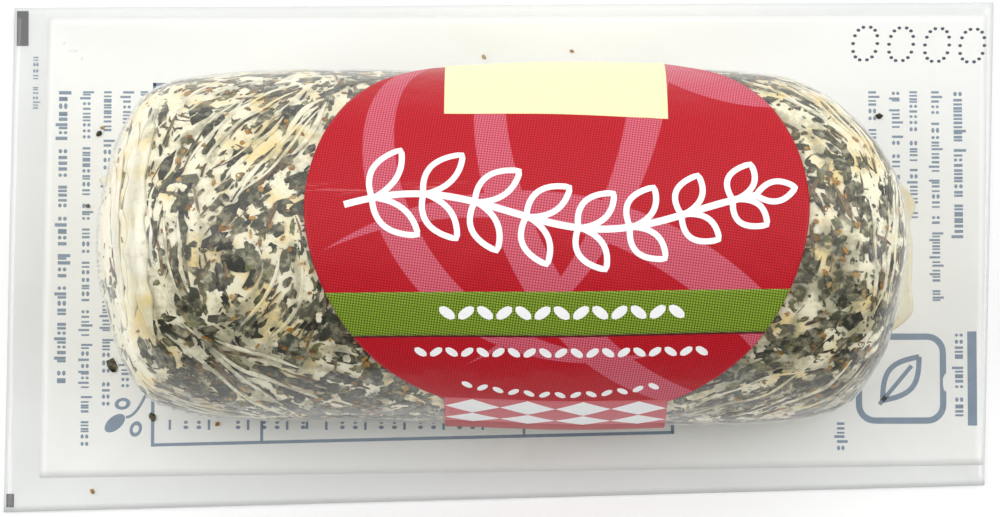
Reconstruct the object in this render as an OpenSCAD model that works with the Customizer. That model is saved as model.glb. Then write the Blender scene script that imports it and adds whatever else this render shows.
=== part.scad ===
// A small log of fresh, herb-coated goat cheese in its sealed pack. The log lies on a flat
// lidding film, a clear formed film hugs it and is sealed to the lidding all round, and a
// printed label is wrapped over the formed film from one side to the other.
// The log runs along X, the pack lies flat on Z = 0, and +Y is the far side.

/* [Cheese] */
// Length of the log
log_l = 93; // [75:0.5:130]
// Width of the log at its widest level
log_w = 41; // [32:0.5:55]
// Height of the log above the lidding film
log_h = 36; // [28:0.5:48]
// Height of the widest level above the lidding film
belly_h = 16; // [8:0.5:22]
// How far the edge of the flat foot lies in from the widest level, on each side
foot_inset = 2.8; // [1:0.1:6]
// How much wider the right end is than the left end
taper = 1.4; // [0:0.1:3]
// Height of the soft lumps along the log
lump = 0.35; // [0:0.05:0.8]
// Squareness of the log's back across the log, where 2 is an ellipse
back_curve = 2.1; // [2:0.1:3]
// Squareness of the walls below the widest level
wall_curve = 3.2; // [2.5:0.1:5]
// Squareness of the edge where the back meets the domed ends
edge_curve = 14; // [6:1:24]
// How far the left end falls back towards its two sides
left_side_fall = 7; // [1:0.5:14]
// How far the right end falls back towards its near side
right_near_fall = 7.4; // [1:0.2:14]
// How far the right end falls back towards its far side
right_far_fall = 13.8; // [1:0.2:16]
// How far the left end falls back towards its top
left_top_fall = 5; // [1:0.5:14]
// How far the right end falls back towards its top
right_top_fall = 2; // [1:0.5:14]

/* [Films] */
// Thickness of the formed film over the log
film_t = 0.2; // [0.15:0.05:0.5]
// Thickness of the flat lidding film under the log
lidding_t = 0.2; // [0.15:0.05:0.5]
// Length of the sealed border beyond each end of the log
end_border = 12.5; // [6:0.1:30]
// Width of the sealed border beyond each side of the log
side_border = 10; // [6:0.1:30]
// How far the far edge falls back towards the left corner
far_edge_skew = 0.7; // [0:0.1:3]
// How far the near edge falls back towards the right corner
near_edge_skew = 3.2; // [0:0.1:5]
// How far the left edge falls back towards the far corner
left_edge_skew = 0.8; // [0:0.1:3]
// How far the right edge falls back towards the near corner
right_edge_skew = 1.6; // [0:0.1:3]

/* [Label] */
// Width of the label along the log
label_l = 56.4; // [40:0.2:70]
// Thickness of the label
label_t = 0.15; // [0.1:0.05:0.4]
// Thickness of the glue that holds the label off the film
glue_t = 0.05; // [0.03:0.01:0.2]
// Distance of the label's middle from the middle of the log, towards the right
label_x = 6.2; // [-10:0.1:10]
// Angle round the log from its top to the label's middle, towards the far side
label_turn = 7.5; // [-20:0.5:20]
// Angle round the log from the label's middle to where its wide part ends
label_half_turn = 79.5; // [50:0.5:90]
// Squareness of the label's wide part
label_corner = 1.8; // [1.5:0.1:4]
// Width of the two tabs that run on down the log's sides
tab_w = 25.2; // [15:0.2:36]
// Angle round the log from its top to the ends of the tabs
tab_end_turn = 112; // [95:1:120]

/* [Hidden] */
around = 72;      // points round each ring, a multiple of 8 so that the border gets its corners
rings = 16;       // rings from the foot to the top
label_cols = 7;   // strips across half of the label
label_rows = 40;  // strips round the log
seek_steps = 24;  // halvings that place a point on the skin
middle_z = lidding_t + belly_h;
foot_share = 1 - 2 * foot_inset / log_w;
foot_level = pow(1 - pow(foot_share, wall_curve), 1 / wall_curve);
wall_drop = belly_h / foot_level;   // depth at which the leaning walls would close
back_rise = log_h - belly_h;        // from the widest level to the top
pack_l = log_l + 2 * end_border;
pack_w = log_w + 2 * side_border;

function blend(a, b, w) = a + (b - a) * w;
function smooth_step(w) = let (c = min(1, max(0, w))) c * c * (3 - 2 * c);
function norm_p(a, b, p) = pow(pow(abs(a), p) + pow(abs(b), p), 1 / p);

// Weight of the squared height or width in an end's ellipse, from how far that end falls back
function end_weight(fall) = 1 - pow(1 - 2 * fall / log_l, 2);

// Size of the log's shape that passes through [x, y, z], given as shares of its half sizes:
// a rounded section along X, closed by a domed face at each end
function shape_size(x, y, z) =
    let (
        r = max(norm([x, y, z]), 1e-6),
        right = smooth_step(0.5 + x / r),
        far = smooth_step(0.5 + y / r),
        right_side = blend(end_weight(right_near_fall), end_weight(right_far_fall), far),
        side = blend(end_weight(left_side_fall), right_side, right),
        top = blend(end_weight(left_top_fall), end_weight(right_top_fall), right),
        end_face = sqrt(x * x + side * y * y + top * z * z),
        section = norm_p(y, z, z < 0 ? wall_curve : back_curve)
    )
    norm_p(end_face, section, edge_curve);

// Half height in millimetres, above or below the widest level, of a skin grown outward by grow
function half_height(z, grow) = z < 0 ? wall_drop : back_rise + grow;

// The log is a little thicker to the right and softly lumped; its foot stays flat
function swell(x) =
    1 + taper / log_w * x / log_l + lump / log_w * (sin(540 * x / log_l + 40) + 0.6 * sin(1150 * x / log_l));
function uneven(p) = let (s = swell(p.x)) [p.x, p.y * s, lidding_t + (p.z - lidding_t) * s];

// How far out the shape reaches at azimuth az on level z, found by halving
function reach(az, z, low, high, n) =
    let (r = (low + high) / 2)
    n == 0 ? r
    : shape_size(r * cos(az), r * sin(az), z) < 1 ? reach(az, z, r, high, n - 1)
    : reach(az, z, low, r, n - 1);

// Point of a skin grown outward by grow, at azimuth az and share k of the way up from level floor_z
function skin(az, k, grow, floor_z) =
    let (
        low = (floor_z - middle_z) / wall_drop,
        el = blend(atan2(low, reach(az, low, 0, 2, seek_steps)), 90, k),
        way = [cos(az) * cos(el), sin(az) * cos(el), sin(el)],
        p = way / shape_size(way.x, way.y, way.z)
    )
    uneven([(log_l / 2 + grow) * p.x, (log_w / 2 + grow) * p.y, middle_z + half_height(p.z, grow) * p.z]);

// Point of a skin at a place x along the log and an angle turn from its top, positive to the far side
function wrapped(x, turn, grow) =
    let (r = seek(x, turn, grow, 0, log_w + log_h, seek_steps))
    uneven([x, r * sin(turn), middle_z + r * cos(turn)]);
function seek(x, turn, grow, low, high, n) =
    let (
        r = (low + high) / 2,
        z = r * cos(turn),
        size = shape_size(x / (log_l / 2 + grow), r * sin(turn) / (log_w / 2 + grow), z / half_height(z, grow))
    )
    n == 0 ? r : size < 1 ? seek(x, turn, grow, r, high, n - 1) : seek(x, turn, grow, low, r, n - 1);

function azimuth(i) = 360 * i / around;
function ring_points(grow, floor_z) = [
    for (k = [0 : rings - 1], i = [0 : around - 1]) skin(azimuth(i), k / rings, grow, floor_z)
];
function top_point(grow) = uneven([0, 0, middle_z + back_rise + grow]);

// Triangles between ring a and ring b, which start at those point numbers, and a fan to one point
function band(a, b) = [
    for (i = [0 : around - 1])
        let (j = (i + 1) % around)
        each [[a + i, b + i, b + j], [a + i, b + j, a + j]]
];
function fan(a, top) = [for (i = [0 : around - 1]) [a + i, top, a + (i + 1) % around]];
function flipped(faces) = [for (f = faces) [for (n = [len(f) - 1 : -1 : 0]) f[n]]];
// The dome made by ring_points, whose first point has number first, closed at the point number top
function dome(first, top) = concat(
    [for (k = [0 : rings - 2]) each band(first + k * around, first + (k + 1) * around)],
    fan(first + (rings - 1) * around, top)
);

// Corners of the pack's outline, out of square as it was cut
far_left = [-pack_l / 2 + left_edge_skew, pack_w / 2 - far_edge_skew];
far_right = [pack_l / 2, pack_w / 2];
near_right = [pack_l / 2 - right_edge_skew, -pack_w / 2 + near_edge_skew];
near_left = [-pack_l / 2, -pack_w / 2];

// Point of the pack's outline at azimuth az, with its four corners at 45, 135, 225 and 315 degrees
function outline(az) =
    let (
        longest = max(abs(cos(az)), abs(sin(az))),
        u = (1 + cos(az) / longest) / 2,
        v = (1 + sin(az) / longest) / 2
    )
    blend(blend(near_left, near_right, u), blend(far_left, far_right, u), v);
function outline_points(z) = [
    for (i = [0 : around - 1]) let (p = outline(azimuth(i))) [p.x, p.y, z]
];

module cheese_log() {
    points = concat(ring_points(0, lidding_t), [top_point(0)]);
    foot = [[for (i = [0 : around - 1]) i]];
    color("#e9e0bd") polyhedron(points, concat(dome(0, rings * around), foot));
}

// One closed skin: its outside, its inside against the log, and the top, edge and underside of its border
module formed_film() {
    skin_points = rings * around;
    outer = 0;
    inner = skin_points + 1;
    edge_top = 2 * (skin_points + 1);
    edge_low = edge_top + around;
    points = concat(
        ring_points(film_t, lidding_t + film_t), [top_point(film_t)],
        ring_points(0, lidding_t), [top_point(0)],
        outline_points(lidding_t + film_t),
        outline_points(lidding_t)
    );
    faces = concat(
        dome(outer, outer + skin_points),
        flipped(dome(inner, inner + skin_points)),
        band(edge_top, outer),
        band(edge_low, edge_top),
        band(inner, edge_low)
    );
    color("#dfe6e6", 0.5) polyhedron(points, faces);
}

module lidding_film() {
    color("#f2f3f1") linear_extrude(lidding_t) polygon([far_left, far_right, near_right, near_left]);
}

// Half width of the label at an angle from the log's top
function label_half(turn) =
    let (share = min(1, abs(turn - label_turn) / label_half_turn))
    max(tab_w / 2, label_l / 2 * pow(1 - pow(share, label_corner), 1 / label_corner));

module label() {
    turns = [for (r = [0 : label_rows]) blend(-tab_end_turn, tab_end_turn, r / label_rows)];
    cols = 2 * label_cols;
    across = cols + 1;
    side = (label_rows + 1) * across;
    last_row = label_rows * across;
    glue_level = film_t + glue_t;
    points = [
        for (grow = [glue_level, glue_level + label_t], turn = turns, c = [-label_cols : label_cols])
            wrapped(label_x + c / label_cols * label_half(turn), turn, grow)
    ];
    under = [
        for (r = [0 : label_rows - 1], c = [0 : cols - 1])
            let (a = r * across + c)
            each [[a, a + across, a + across + 1], [a, a + across + 1, a + 1]]
    ];
    over = [for (f = flipped(under)) [for (n = f) n + side]];
    rim = concat(
        [for (a = [0 : cols - 1]) [a, a + 1, a + 1 + side, a + side]],
        [for (a = [last_row : last_row + cols - 1]) [a + 1, a, a + side, a + 1 + side]],
        [for (a = [0 : across : last_row - 1]) [a + across, a, a + side, a + across + side]],
        [for (a = [cols : across : last_row - 1]) [a, a + across, a + across + side, a + side]]
    );
    color("#c8313d") polyhedron(points, concat(under, over, rim));
}

cheese_log();
formed_film();
lidding_film();
label();
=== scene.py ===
import math

import bpy
import numpy as np
from mathutils.kdtree import KDTree
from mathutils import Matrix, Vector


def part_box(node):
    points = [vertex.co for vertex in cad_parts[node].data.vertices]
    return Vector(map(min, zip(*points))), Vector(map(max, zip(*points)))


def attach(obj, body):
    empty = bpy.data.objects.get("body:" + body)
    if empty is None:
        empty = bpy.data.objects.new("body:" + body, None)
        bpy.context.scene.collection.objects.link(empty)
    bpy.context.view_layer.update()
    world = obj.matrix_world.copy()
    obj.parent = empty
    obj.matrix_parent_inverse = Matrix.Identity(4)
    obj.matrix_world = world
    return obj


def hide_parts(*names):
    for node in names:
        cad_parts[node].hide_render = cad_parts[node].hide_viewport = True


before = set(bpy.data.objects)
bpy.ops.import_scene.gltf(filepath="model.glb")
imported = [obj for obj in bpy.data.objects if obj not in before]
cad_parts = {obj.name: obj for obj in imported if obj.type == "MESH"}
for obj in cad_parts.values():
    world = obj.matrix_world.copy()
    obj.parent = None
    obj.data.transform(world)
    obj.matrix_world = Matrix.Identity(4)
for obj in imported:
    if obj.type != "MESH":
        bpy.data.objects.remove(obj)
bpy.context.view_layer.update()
print("frame loaded")

# Every length in this script is in millimetres. meshObject turns it to metres.
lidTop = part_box("lidding_film")[1].z * 1000
logLow, logHigh = [np.array(corner) * 1000 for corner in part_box("cheese_log")]
filmLow, filmHigh = [np.array(corner) * 1000 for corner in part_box("formed_film")]

# The log's form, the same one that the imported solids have
logForm = {
    "length": logHigh[0] - logLow[0],
    "width": 41.0,
    "height": 36.0,
    "bellyHeight": 16.0,  # level of the widest place above the lidding film
    "footInset": 2.8,
    "taper": 1.4,
    "lump": 0.35,
    "backCurve": 2.1,  # squareness above the widest level
    "wallCurve": 3.2,  # and below it
    "edgeCurve": 14.0,  # squareness of the edge round each end
    "leftSideFall": 7.0,
    "rightNearFall": 7.4,
    "rightFarFall": 13.8,
    "leftTopFall": 5.0,
    "rightTopFall": 2.0,
}
halfLength = logForm["length"] / 2
halfWidth = logForm["width"] / 2
middleZ = lidTop + logForm["bellyHeight"]
backRise = logForm["height"] - logForm["bellyHeight"]
footShare = 1 - 2 * logForm["footInset"] / logForm["width"]
wallDrop = logForm["bellyHeight"] / (1 - footShare ** logForm["wallCurve"]) ** (1 / logForm["wallCurve"])


def mixOf(a, b, w):
    return a + (b - a) * w


def smoothStep(w):
    w = np.clip(w, 0, 1)
    return w * w * (3 - 2 * w)


def halved(inside, low, high, times):
    # closes in on the place between low and high up to which inside holds
    for halving in range(times):
        middle = (low + high) / 2
        within = inside(middle)
        low = np.where(within, middle, low)
        high = np.where(within, high, middle)
    return low, high


def turned(a, b, angle):
    # the pair a, b turned by an angle
    return a * np.cos(angle) - b * np.sin(angle), a * np.sin(angle) + b * np.cos(angle)


def endWeight(fall):
    return 1 - (1 - 2 * fall / logForm["length"]) ** 2


def shapeSize(x, y, z):
    # size of the log's shape that passes through a place given in shares of its half sizes
    r = np.maximum(np.sqrt(x * x + y * y + z * z), 1e-6)
    right = smoothStep(0.5 + x / r)
    far = smoothStep(0.5 + y / r)
    rightSide = mixOf(endWeight(logForm["rightNearFall"]), endWeight(logForm["rightFarFall"]), far)
    side = mixOf(endWeight(logForm["leftSideFall"]), rightSide, right)
    top = mixOf(endWeight(logForm["leftTopFall"]), endWeight(logForm["rightTopFall"]), right)
    endFace = np.sqrt(x * x + side * y * y + top * z * z)
    p = np.where(z < 0, logForm["wallCurve"], logForm["backCurve"])
    section = (np.abs(y) ** p + np.abs(z) ** p) ** (1 / p)
    q = logForm["edgeCurve"]
    return (endFace ** q + section ** q) ** (1 / q)


def uneven(points):
    # the slow taper and the soft lumps along the log; the foot stays where it is
    along = points[..., 0] / logForm["length"]
    lumps = np.sin(np.radians(540 * along + 40)) + 0.6 * np.sin(np.radians(1150 * along))
    swell = 1 + logForm["taper"] / logForm["width"] * along + logForm["lump"] / logForm["width"] * lumps
    out = points.copy()
    out[..., 1] *= swell
    out[..., 2] = lidTop + (out[..., 2] - lidTop) * swell
    return out


def noiseAt(points, size, seed):
    # smooth noise from -1 to 1 with bumps about size apart
    q = np.asarray(points) / size + 37.7 + 5.3 * seed
    cell = np.floor(q).astype(np.int64)
    part = smoothStep(q - cell)
    total = 0
    for dx in (0, 1):
        for dy in (0, 1):
            for dz in (0, 1):
                h = (cell[..., 0] + dx) * 73856093 ^ (cell[..., 1] + dy) * 19349663
                h = h ^ (cell[..., 2] + dz) * 83492791 ^ seed * 7919
                h = (h ^ (h >> 13)) * 1274126177 & 0xFFFFFFFF
                h = (h ^ (h >> 15)) & 0xFFFF
                w = np.where(dx, part[..., 0], 1 - part[..., 0])
                w = w * np.where(dy, part[..., 1], 1 - part[..., 1])
                w = w * np.where(dz, part[..., 2], 1 - part[..., 2])
                total = total + w * h / 65535
    return total * 2 - 1


# The log's skin as one grid: steps along it, from the middle of the left end over the side to the
# middle of the right end, by turns round it. Turn 0 is the top and +90 the far side.
gridForm = {
    "capDepth": 18.0,  # from the middle of an end to its edge
    "fineStep": 0.36,  # at the ends, where the skin shows
    "coarseStep": 0.62,  # under the label
    "turns": 288,
}
capDepth = gridForm["capDepth"]
runLength = 2 * capDepth + logForm["length"]
stepList = [0.35]
while stepList[-1] < runLength - 0.7:
    underLabel = capDepth + halfLength - 18 < stepList[-1] < capDepth + halfLength + 29
    stepList.append(stepList[-1] + gridForm["coarseStep" if underLabel else "fineStep"])
stepList.append(runLength - 0.35)
gridSteps = np.array(stepList)
gridTurns = -180 + 360 / gridForm["turns"] * np.arange(gridForm["turns"])


def skinGrid():
    s = gridSteps[:, None]
    turn = np.radians(gridTurns)[None, :]
    # a ray from the log's middle line through a box round it, so that the steps stay even
    alongBox = np.clip(s - capDepth, 0, logForm["length"]) - halfLength
    outBox = np.where(s < capDepth, s, np.where(s > runLength - capDepth, runLength - s, capDepth))
    start = np.clip(alongBox, -halfLength + capDepth, halfLength - capDepth)
    reach = np.hypot(alongBox - start, outBox)
    wayX = (alongBox - start) / reach + 0 * turn
    wayY = outBox / reach * np.sin(turn)
    wayZ = outBox / reach * np.cos(turn)

    def inLog(r):
        z = r * wayZ
        heightShare = z / np.where(z < 0, wallDrop, backRise)
        return shapeSize((start + r * wayX) / halfLength, r * wayY / halfWidth, heightShare) < 1

    low, high = halved(inLog, np.zeros(wayX.shape), np.full(wayX.shape, 60.0), 26)
    toFloor = np.where(wayZ < -1e-6, (lidTop - middleZ) / np.minimum(wayZ, -1e-6), 1e9)
    r = np.minimum(low, toFloor)
    return uneven(np.stack([start + r * wayX, r * wayY, middleZ + r * wayZ], -1))


def normalsOf(points):
    along = np.gradient(points, gridSteps, axis=0)
    around = np.roll(points, -1, 1) - np.roll(points, 1, 1)
    n = np.cross(around, along)
    return n / np.maximum(np.linalg.norm(n, axis=-1, keepdims=True), 1e-9)


skinPoints = skinGrid()
skinNormals = normalsOf(skinPoints)
if np.mean(np.sum(skinNormals * (skinPoints - [0, 0, middleZ]), -1)) < 0:
    skinNormals = -skinNormals
turnLength = np.linalg.norm(np.roll(skinPoints, -1, 1) - skinPoints, axis=-1) * gridForm["turns"] / 360


def sample(grid, s, turn):
    u = np.interp(s, gridSteps, np.arange(len(gridSteps)))
    v = (np.asarray(turn) + 180) % 360 * gridForm["turns"] / 360
    i = np.clip(np.floor(u).astype(int), 0, len(gridSteps) - 2)
    j = np.floor(v).astype(int) % gridForm["turns"]
    a = u - i
    b = v - np.floor(v)
    if grid.ndim == 3:
        a = a[..., None]
        b = b[..., None]
    k = (j + 1) % gridForm["turns"]
    near = grid[i, j] * (1 - b) + grid[i, k] * b
    return near * (1 - a) + (grid[i + 1, j] * (1 - b) + grid[i + 1, k] * b) * a


def stepAt(x, turn):
    # the step whose skin point has this x
    x, turn = np.broadcast_arrays(np.asarray(x, float), np.asarray(turn, float))
    ends = np.full(x.shape, 3.0), np.full(x.shape, runLength - 3.0)
    low, high = halved(lambda s: sample(skinPoints[..., 0], s, turn) < x, *ends, 18)
    return (low + high) / 2


# The label's outline in x and turn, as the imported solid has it
labelForm = {
    "middleX": 6.2,
    "middleTurn": 7.5,
    "length": 56.4,
    "halfTurn": 79.5,
    "corner": 1.8,
    "tabWidth": 25.2,
    "tabEndTurn": 112.0,
    "level": 0.27,  # its underside above the log's skin
    "thickness": 0.11,
}
turnMm = 0.36  # length of one degree of turn on the label


def labelHalf(turn):
    share = np.minimum(1, np.abs(turn - labelForm["middleTurn"]) / labelForm["halfTurn"])
    k = labelForm["corner"]
    oval = labelForm["length"] / 2 * (1 - share ** k) ** (1 / k)
    return np.maximum(labelForm["tabWidth"] / 2, oval)


def labelCover(x, turn, softness):
    # 1 under the label and 0 away from it
    inside = labelHalf(turn) - np.abs(x - labelForm["middleX"])
    ends = (labelForm["tabEndTurn"] - np.abs(turn)) * turnMm
    return smoothStep(0.5 + np.minimum(inside, ends) / softness)


# The soft unevenness that the cheese, the film and the label share
reliefForm = {"broad": 0.24, "broadSize": 9.0, "small": 0.15, "smallSize": 3.6, "underLabel": 0.22}
footFade = smoothStep((skinPoints[..., 2] - lidTop) / 4)
softRelief = reliefForm["broad"] * noiseAt(skinPoints, reliefForm["broadSize"], 1)
softRelief = softRelief + reliefForm["small"] * noiseAt(skinPoints, reliefForm["smallSize"], 2)
gridCover = labelCover(skinPoints[..., 0], gridTurns[None, :] + 0 * gridSteps[:, None], 2.0)
softRelief = softRelief * footFade * mixOf(1, reliefForm["underLabel"], gridCover)


def onLog(s, turn, level):
    # a point this far above the log's skin, with the soft unevenness
    level = level + sample(softRelief, s, turn)
    return sample(skinPoints, s, turn) + sample(skinNormals, s, turn) * np.asarray(level)[..., None]


def onLabel(x, turn, lift):
    return onLog(stepAt(x, turn), turn, labelForm["level"] + labelForm["thickness"] + lift)


def gridFaces(rows, columns, closed=False, first=0):
    # quads of a grid of points; a closed one joins its last column to its first
    i, j = np.meshgrid(np.arange(rows - 1), np.arange(columns if closed else columns - 1), indexing="ij")
    k = (j + 1) % columns
    quads = np.stack([i * columns + j, i * columns + k, (i + 1) * columns + k, (i + 1) * columns + j], -1)
    return quads.reshape(-1, 4) + first


def meshObject(name, points, faces, material, smooth=True, values=None):
    # faces is one array of triangles or quads, or a list of such arrays
    groups = faces if isinstance(faces, list) else [faces]
    mesh = bpy.data.meshes.new(name)
    mesh.vertices.add(len(points))
    mesh.vertices.foreach_set("co", (np.asarray(points) / 1000).astype(np.float32).ravel())
    corners = np.concatenate([np.asarray(g).ravel() for g in groups])
    sizes = np.concatenate([np.full(len(g), np.asarray(g).shape[1]) for g in groups])
    mesh.loops.add(len(corners))
    mesh.loops.foreach_set("vertex_index", corners.astype(np.int32))
    mesh.polygons.add(len(sizes))
    mesh.polygons.foreach_set("loop_start", (np.cumsum(sizes) - sizes).astype(np.int32))
    mesh.polygons.foreach_set("use_smooth", np.full(len(sizes), smooth))
    for key, data in (values or {}).items():
        data = np.asarray(data, np.float32)
        if data.ndim == 1:
            mesh.attributes.new(key, "FLOAT", "POINT").data.foreach_set("value", data)
        else:
            mesh.attributes.new(key, "FLOAT_VECTOR", "POINT").data.foreach_set("vector", data.ravel())
    mesh.update(calc_edges=True)
    mesh.validate()
    mesh.materials.append(material)
    piece = bpy.data.objects.new(name, mesh)
    bpy.context.collection.objects.link(piece)
    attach(piece, "root")
    return piece


def joined(parts):
    # one set of points and triangles from many
    points, faces, start = [], [], 0
    for p, f in parts:
        points.append(p)
        faces.append(f + start)
        start += len(p)
    return np.concatenate(points), np.concatenate(faces)


def slab(top, under, rows, columns):
    # a closed thin sheet from two grids of points
    n = rows * columns
    topFaces = gridFaces(rows, columns)
    underFaces = gridFaces(rows, columns, first=n)[:, ::-1]
    rim = np.concatenate([
        np.arange(columns - 1),
        np.arange(1, rows) * columns - 1,
        np.arange(n - 1, n - columns, -1),
        np.arange(rows - 1, 0, -1) * columns,
    ])
    after = np.roll(rim, -1)
    sides = np.stack([after, rim, rim + n, after + n], -1)
    return np.concatenate([top, under]), np.concatenate([topFaces, underFaces, sides])


# Creases, where the film has folded and cheese has filled the fold

# Each family runs from its first bow to its last; a bow is three places in x and turn.
# Width and height are in mm, and stray is how far a line may leave its place.
creaseFamilies = [
    {"first": [(-35, 19), (-30, 44), (-22, 66)], "last": [(-32, 5), (-26, 22), (-20, 50)], "count": 6,
     "width": (0.3, 0.7), "height": (0.10, 0.2), "stray": 4.0},
    {"first": [(-38, 40), (-33, 60), (-24, 78)], "last": [(-35, 19), (-30, 44), (-22, 66)], "count": 4,
     "width": (0.3, 0.8), "height": (0.08, 0.16), "stray": 3.0},
    {"first": [(-25, 33), (-22, 42), (-19, 55)], "last": [(-24, 24), (-22, 36), (-20, 50)], "count": 2,
     "width": (0.6, 0.9), "height": (0.16, 0.24), "stray": 2.0},
    {"first": [(-43.8, 55), (-44.3, 5), (-43.4, -45)], "last": [(-39.2, 60), (-40.6, 5), (-38.6, -52)],
     "count": 5, "width": (1.2, 2.4), "height": (0.14, 0.26), "stray": 3.5},
    {"first": [(-38, 20), (-38.5, 0), (-37, -30)], "last": [(-36, 12), (-36, -8), (-34, -30)], "count": 3,
     "width": (0.3, 0.7), "height": (0.08, 0.14), "stray": 3.0},
    {"first": [(-38, -28), (-33, -52), (-20, -95)], "last": [(-33, -32), (-29, -44), (-19, -53)], "count": 4,
     "width": (0.35, 0.75), "height": (0.12, 0.22), "stray": 4.0},
    {"first": [(-22, -8), (-22, -25), (-27, -43)], "last": [(-24, -4), (-25, -20), (-30, -36)], "count": 2,
     "width": (0.6, 1.1), "height": (0.12, 0.2), "stray": 1.5},
    {"first": [(-41, -60), (-36, -70), (-20, -88)], "last": [(-40, -75), (-33, -90), (-18, -100)], "count": 5,
     "width": (0.3, 0.6), "height": (0.12, 0.2), "stray": 4.0},
    {"first": [(20, -72), (28, -58), (36, -42)], "last": [(28, -92), (38, -72), (43.5, -42)], "count": 6,
     "width": (0.3, 0.75), "height": (0.12, 0.22), "stray": 4.0},
    {"first": [(25, 67), (34, 52), (41, 24)], "last": [(33, 72), (40, 48), (43.5, 15)], "count": 5,
     "width": (0.4, 1.0), "height": (0.12, 0.22), "stray": 2.5},
    {"first": [(43.6, 40), (44.6, 0), (43.2, -45)], "last": [(41.6, 22), (42.4, -8), (41.4, -30)], "count": 3,
     "width": (0.35, 0.8), "height": (0.12, 0.2), "stray": 4.0},
    {"first": [(-36, 66), (-28, 74), (-19, 82)], "last": [(-40, 88), (-30, 98), (-18, 104)], "count": 6,
     "width": (0.4, 1.0), "height": (0.12, 0.22), "stray": 2.5},
    {"first": [(24, 84), (32, 78), (41, 62)], "last": [(22, 102), (32, 98), (41.5, 84)], "count": 5,
     "width": (0.4, 1.0), "height": (0.12, 0.22), "stray": 2.5},
]
creaseForm = {"level": -0.24, "places": 90, "flowReach": 4.5}


def creaseLine(bow, stray, rng):
    bow = bow + rng.uniform(-1, 1, (3, 2)) * [stray * 0.3, stray]
    start, stop = rng.uniform(0, 0.22), rng.uniform(0.78, 1)
    w = np.linspace(start, stop, creaseForm["places"])[:, None]
    line = (1 - w) ** 2 * bow[0] + 2 * w * (1 - w) * (2 * bow[1] - (bow[0] + bow[2]) / 2) + w * w * bow[2]
    s = stepAt(line[:, 0], line[:, 1])
    place = np.stack([s, line[:, 1] * turnMm, 0 * s], -1)
    seed = int(rng.integers(1, 900))
    return s + 0.35 * noiseAt(place, 3.5, seed), line[:, 1] + 1.8 * noiseAt(place, 4.5, seed + 1)


creaseRng = np.random.default_rng(31)
creases = []
for family in creaseFamilies:
    for k in range(family["count"]):
        share = (k + creaseRng.uniform(-0.3, 0.3)) / max(1, family["count"] - 1)
        bow = mixOf(np.array(family["first"], float), np.array(family["last"], float), share)
        s, t = creaseLine(bow, family["stray"], creaseRng)
        bare = labelCover(sample(skinPoints[..., 0], s, t), t, 0.5) < 0.9
        s, t = s[bare], t[bare]
        if len(s) < 12:
            continue
        width = creaseRng.uniform(*family["width"])
        height = creaseRng.uniform(*family["height"])
        taper = np.sin(np.linspace(0.03, 0.97, len(s)) * math.pi) ** 0.6
        creases.append({"s": s, "t": t, "width": width * taper, "height": height * taper})
creasePlaces = [onLog(c["s"], c["t"], np.full(len(c["s"]), creaseForm["level"])) for c in creases]
creaseSpots = np.concatenate(creasePlaces)
creaseSizes = np.concatenate([np.stack([c["width"], c["height"]], -1) for c in creases])
creaseWays = []
for c in creases:
    perDegree = np.maximum(sample(turnLength, c["s"], c["t"]), 0.03)
    way = np.stack([np.gradient(c["s"]), np.gradient(c["t"]) * perDegree], -1)
    creaseWays.append(way / np.maximum(np.linalg.norm(way, axis=1, keepdims=True), 1e-9))
creaseWays = np.concatenate(creaseWays)
creaseTree = KDTree(len(creaseSpots))
for k, spot in enumerate(creaseSpots):
    creaseTree.insert(spot, k)
creaseTree.balance()
rowCount, turnCount = skinPoints.shape[:2]
creaseAway = np.full(rowCount * turnCount, 99.0)
creaseNext = np.zeros(rowCount * turnCount, int)
for k, place in enumerate(skinPoints.reshape(-1, 3)):
    spot, index, away = creaseTree.find(place)
    creaseAway[k] = away
    creaseNext[k] = index
creaseAway = creaseAway.reshape(rowCount, turnCount)
creaseNext = creaseNext.reshape(rowCount, turnCount)
# the way that cheese and herbs have been drawn out: along the nearest crease, and less further off
flowWay = creaseWays[creaseNext]
flowShare = np.exp(-((creaseAway / creaseForm["flowReach"]) ** 2))


def drawnOut(values, reach):
    # smears a pattern on the grid along the flow
    s = gridSteps[:, None] + 0 * creaseAway
    t = gridTurns[None, :] + 0 * creaseAway
    perDegree = np.maximum(turnLength, 0.05)
    total = 0
    for k in np.linspace(-1, 1, 11):
        step = k * reach * (0.12 + 0.88 * flowShare)
        total = total + sample(values, s + flowWay[..., 0] * step, t + flowWay[..., 1] * step / perDegree)
    return total / 11


print("creases placed,", len(creases))


# Materials

def linear(code):
    # sRGB hex to linear
    values = [int(code[k : k + 2], 16) / 255 for k in (0, 2, 4)]
    return [v / 12.92 if v <= 0.04045 else ((v + 0.055) / 1.055) ** 2.4 for v in values] + [1]


def newTree(name):
    material = bpy.data.materials.new(name)
    material.use_nodes = True
    material.node_tree.nodes.clear()
    return material, material.node_tree


softStep = {"interpolation_type": "SMOOTHSTEP"}  # setting of a Map Range node that eases in and out


def addNode(tree, kind, settings=None, inputs=None):
    # an input is a value or another node's output
    node = tree.nodes.new("ShaderNode" + kind)
    for key, value in (settings or {}).items():
        setattr(node, key, value)
    for key, value in (inputs or {}).items():
        if isinstance(value, bpy.types.NodeSocket):
            tree.links.new(value, node.inputs[key])
        else:
            node.inputs[key].default_value = value
    return node


# Fresh goat cheese, curd pressed and rolled by hand. It is matt and dense white to ivory, with a
# little light going into it, and yellower where fat has come out against the film.
cheeseFinish = {
    "curd": "fdf5d8",
    "fat": "f6dd9c",
    "shade": "ded4b2",
    "smear": "9d987a",  # herb showing through a thin layer of cheese
    "buried": "35351d",  # and herb just under the surface
    "fatSize": 5.0,
    "curdSize": 0.9,
}


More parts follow.
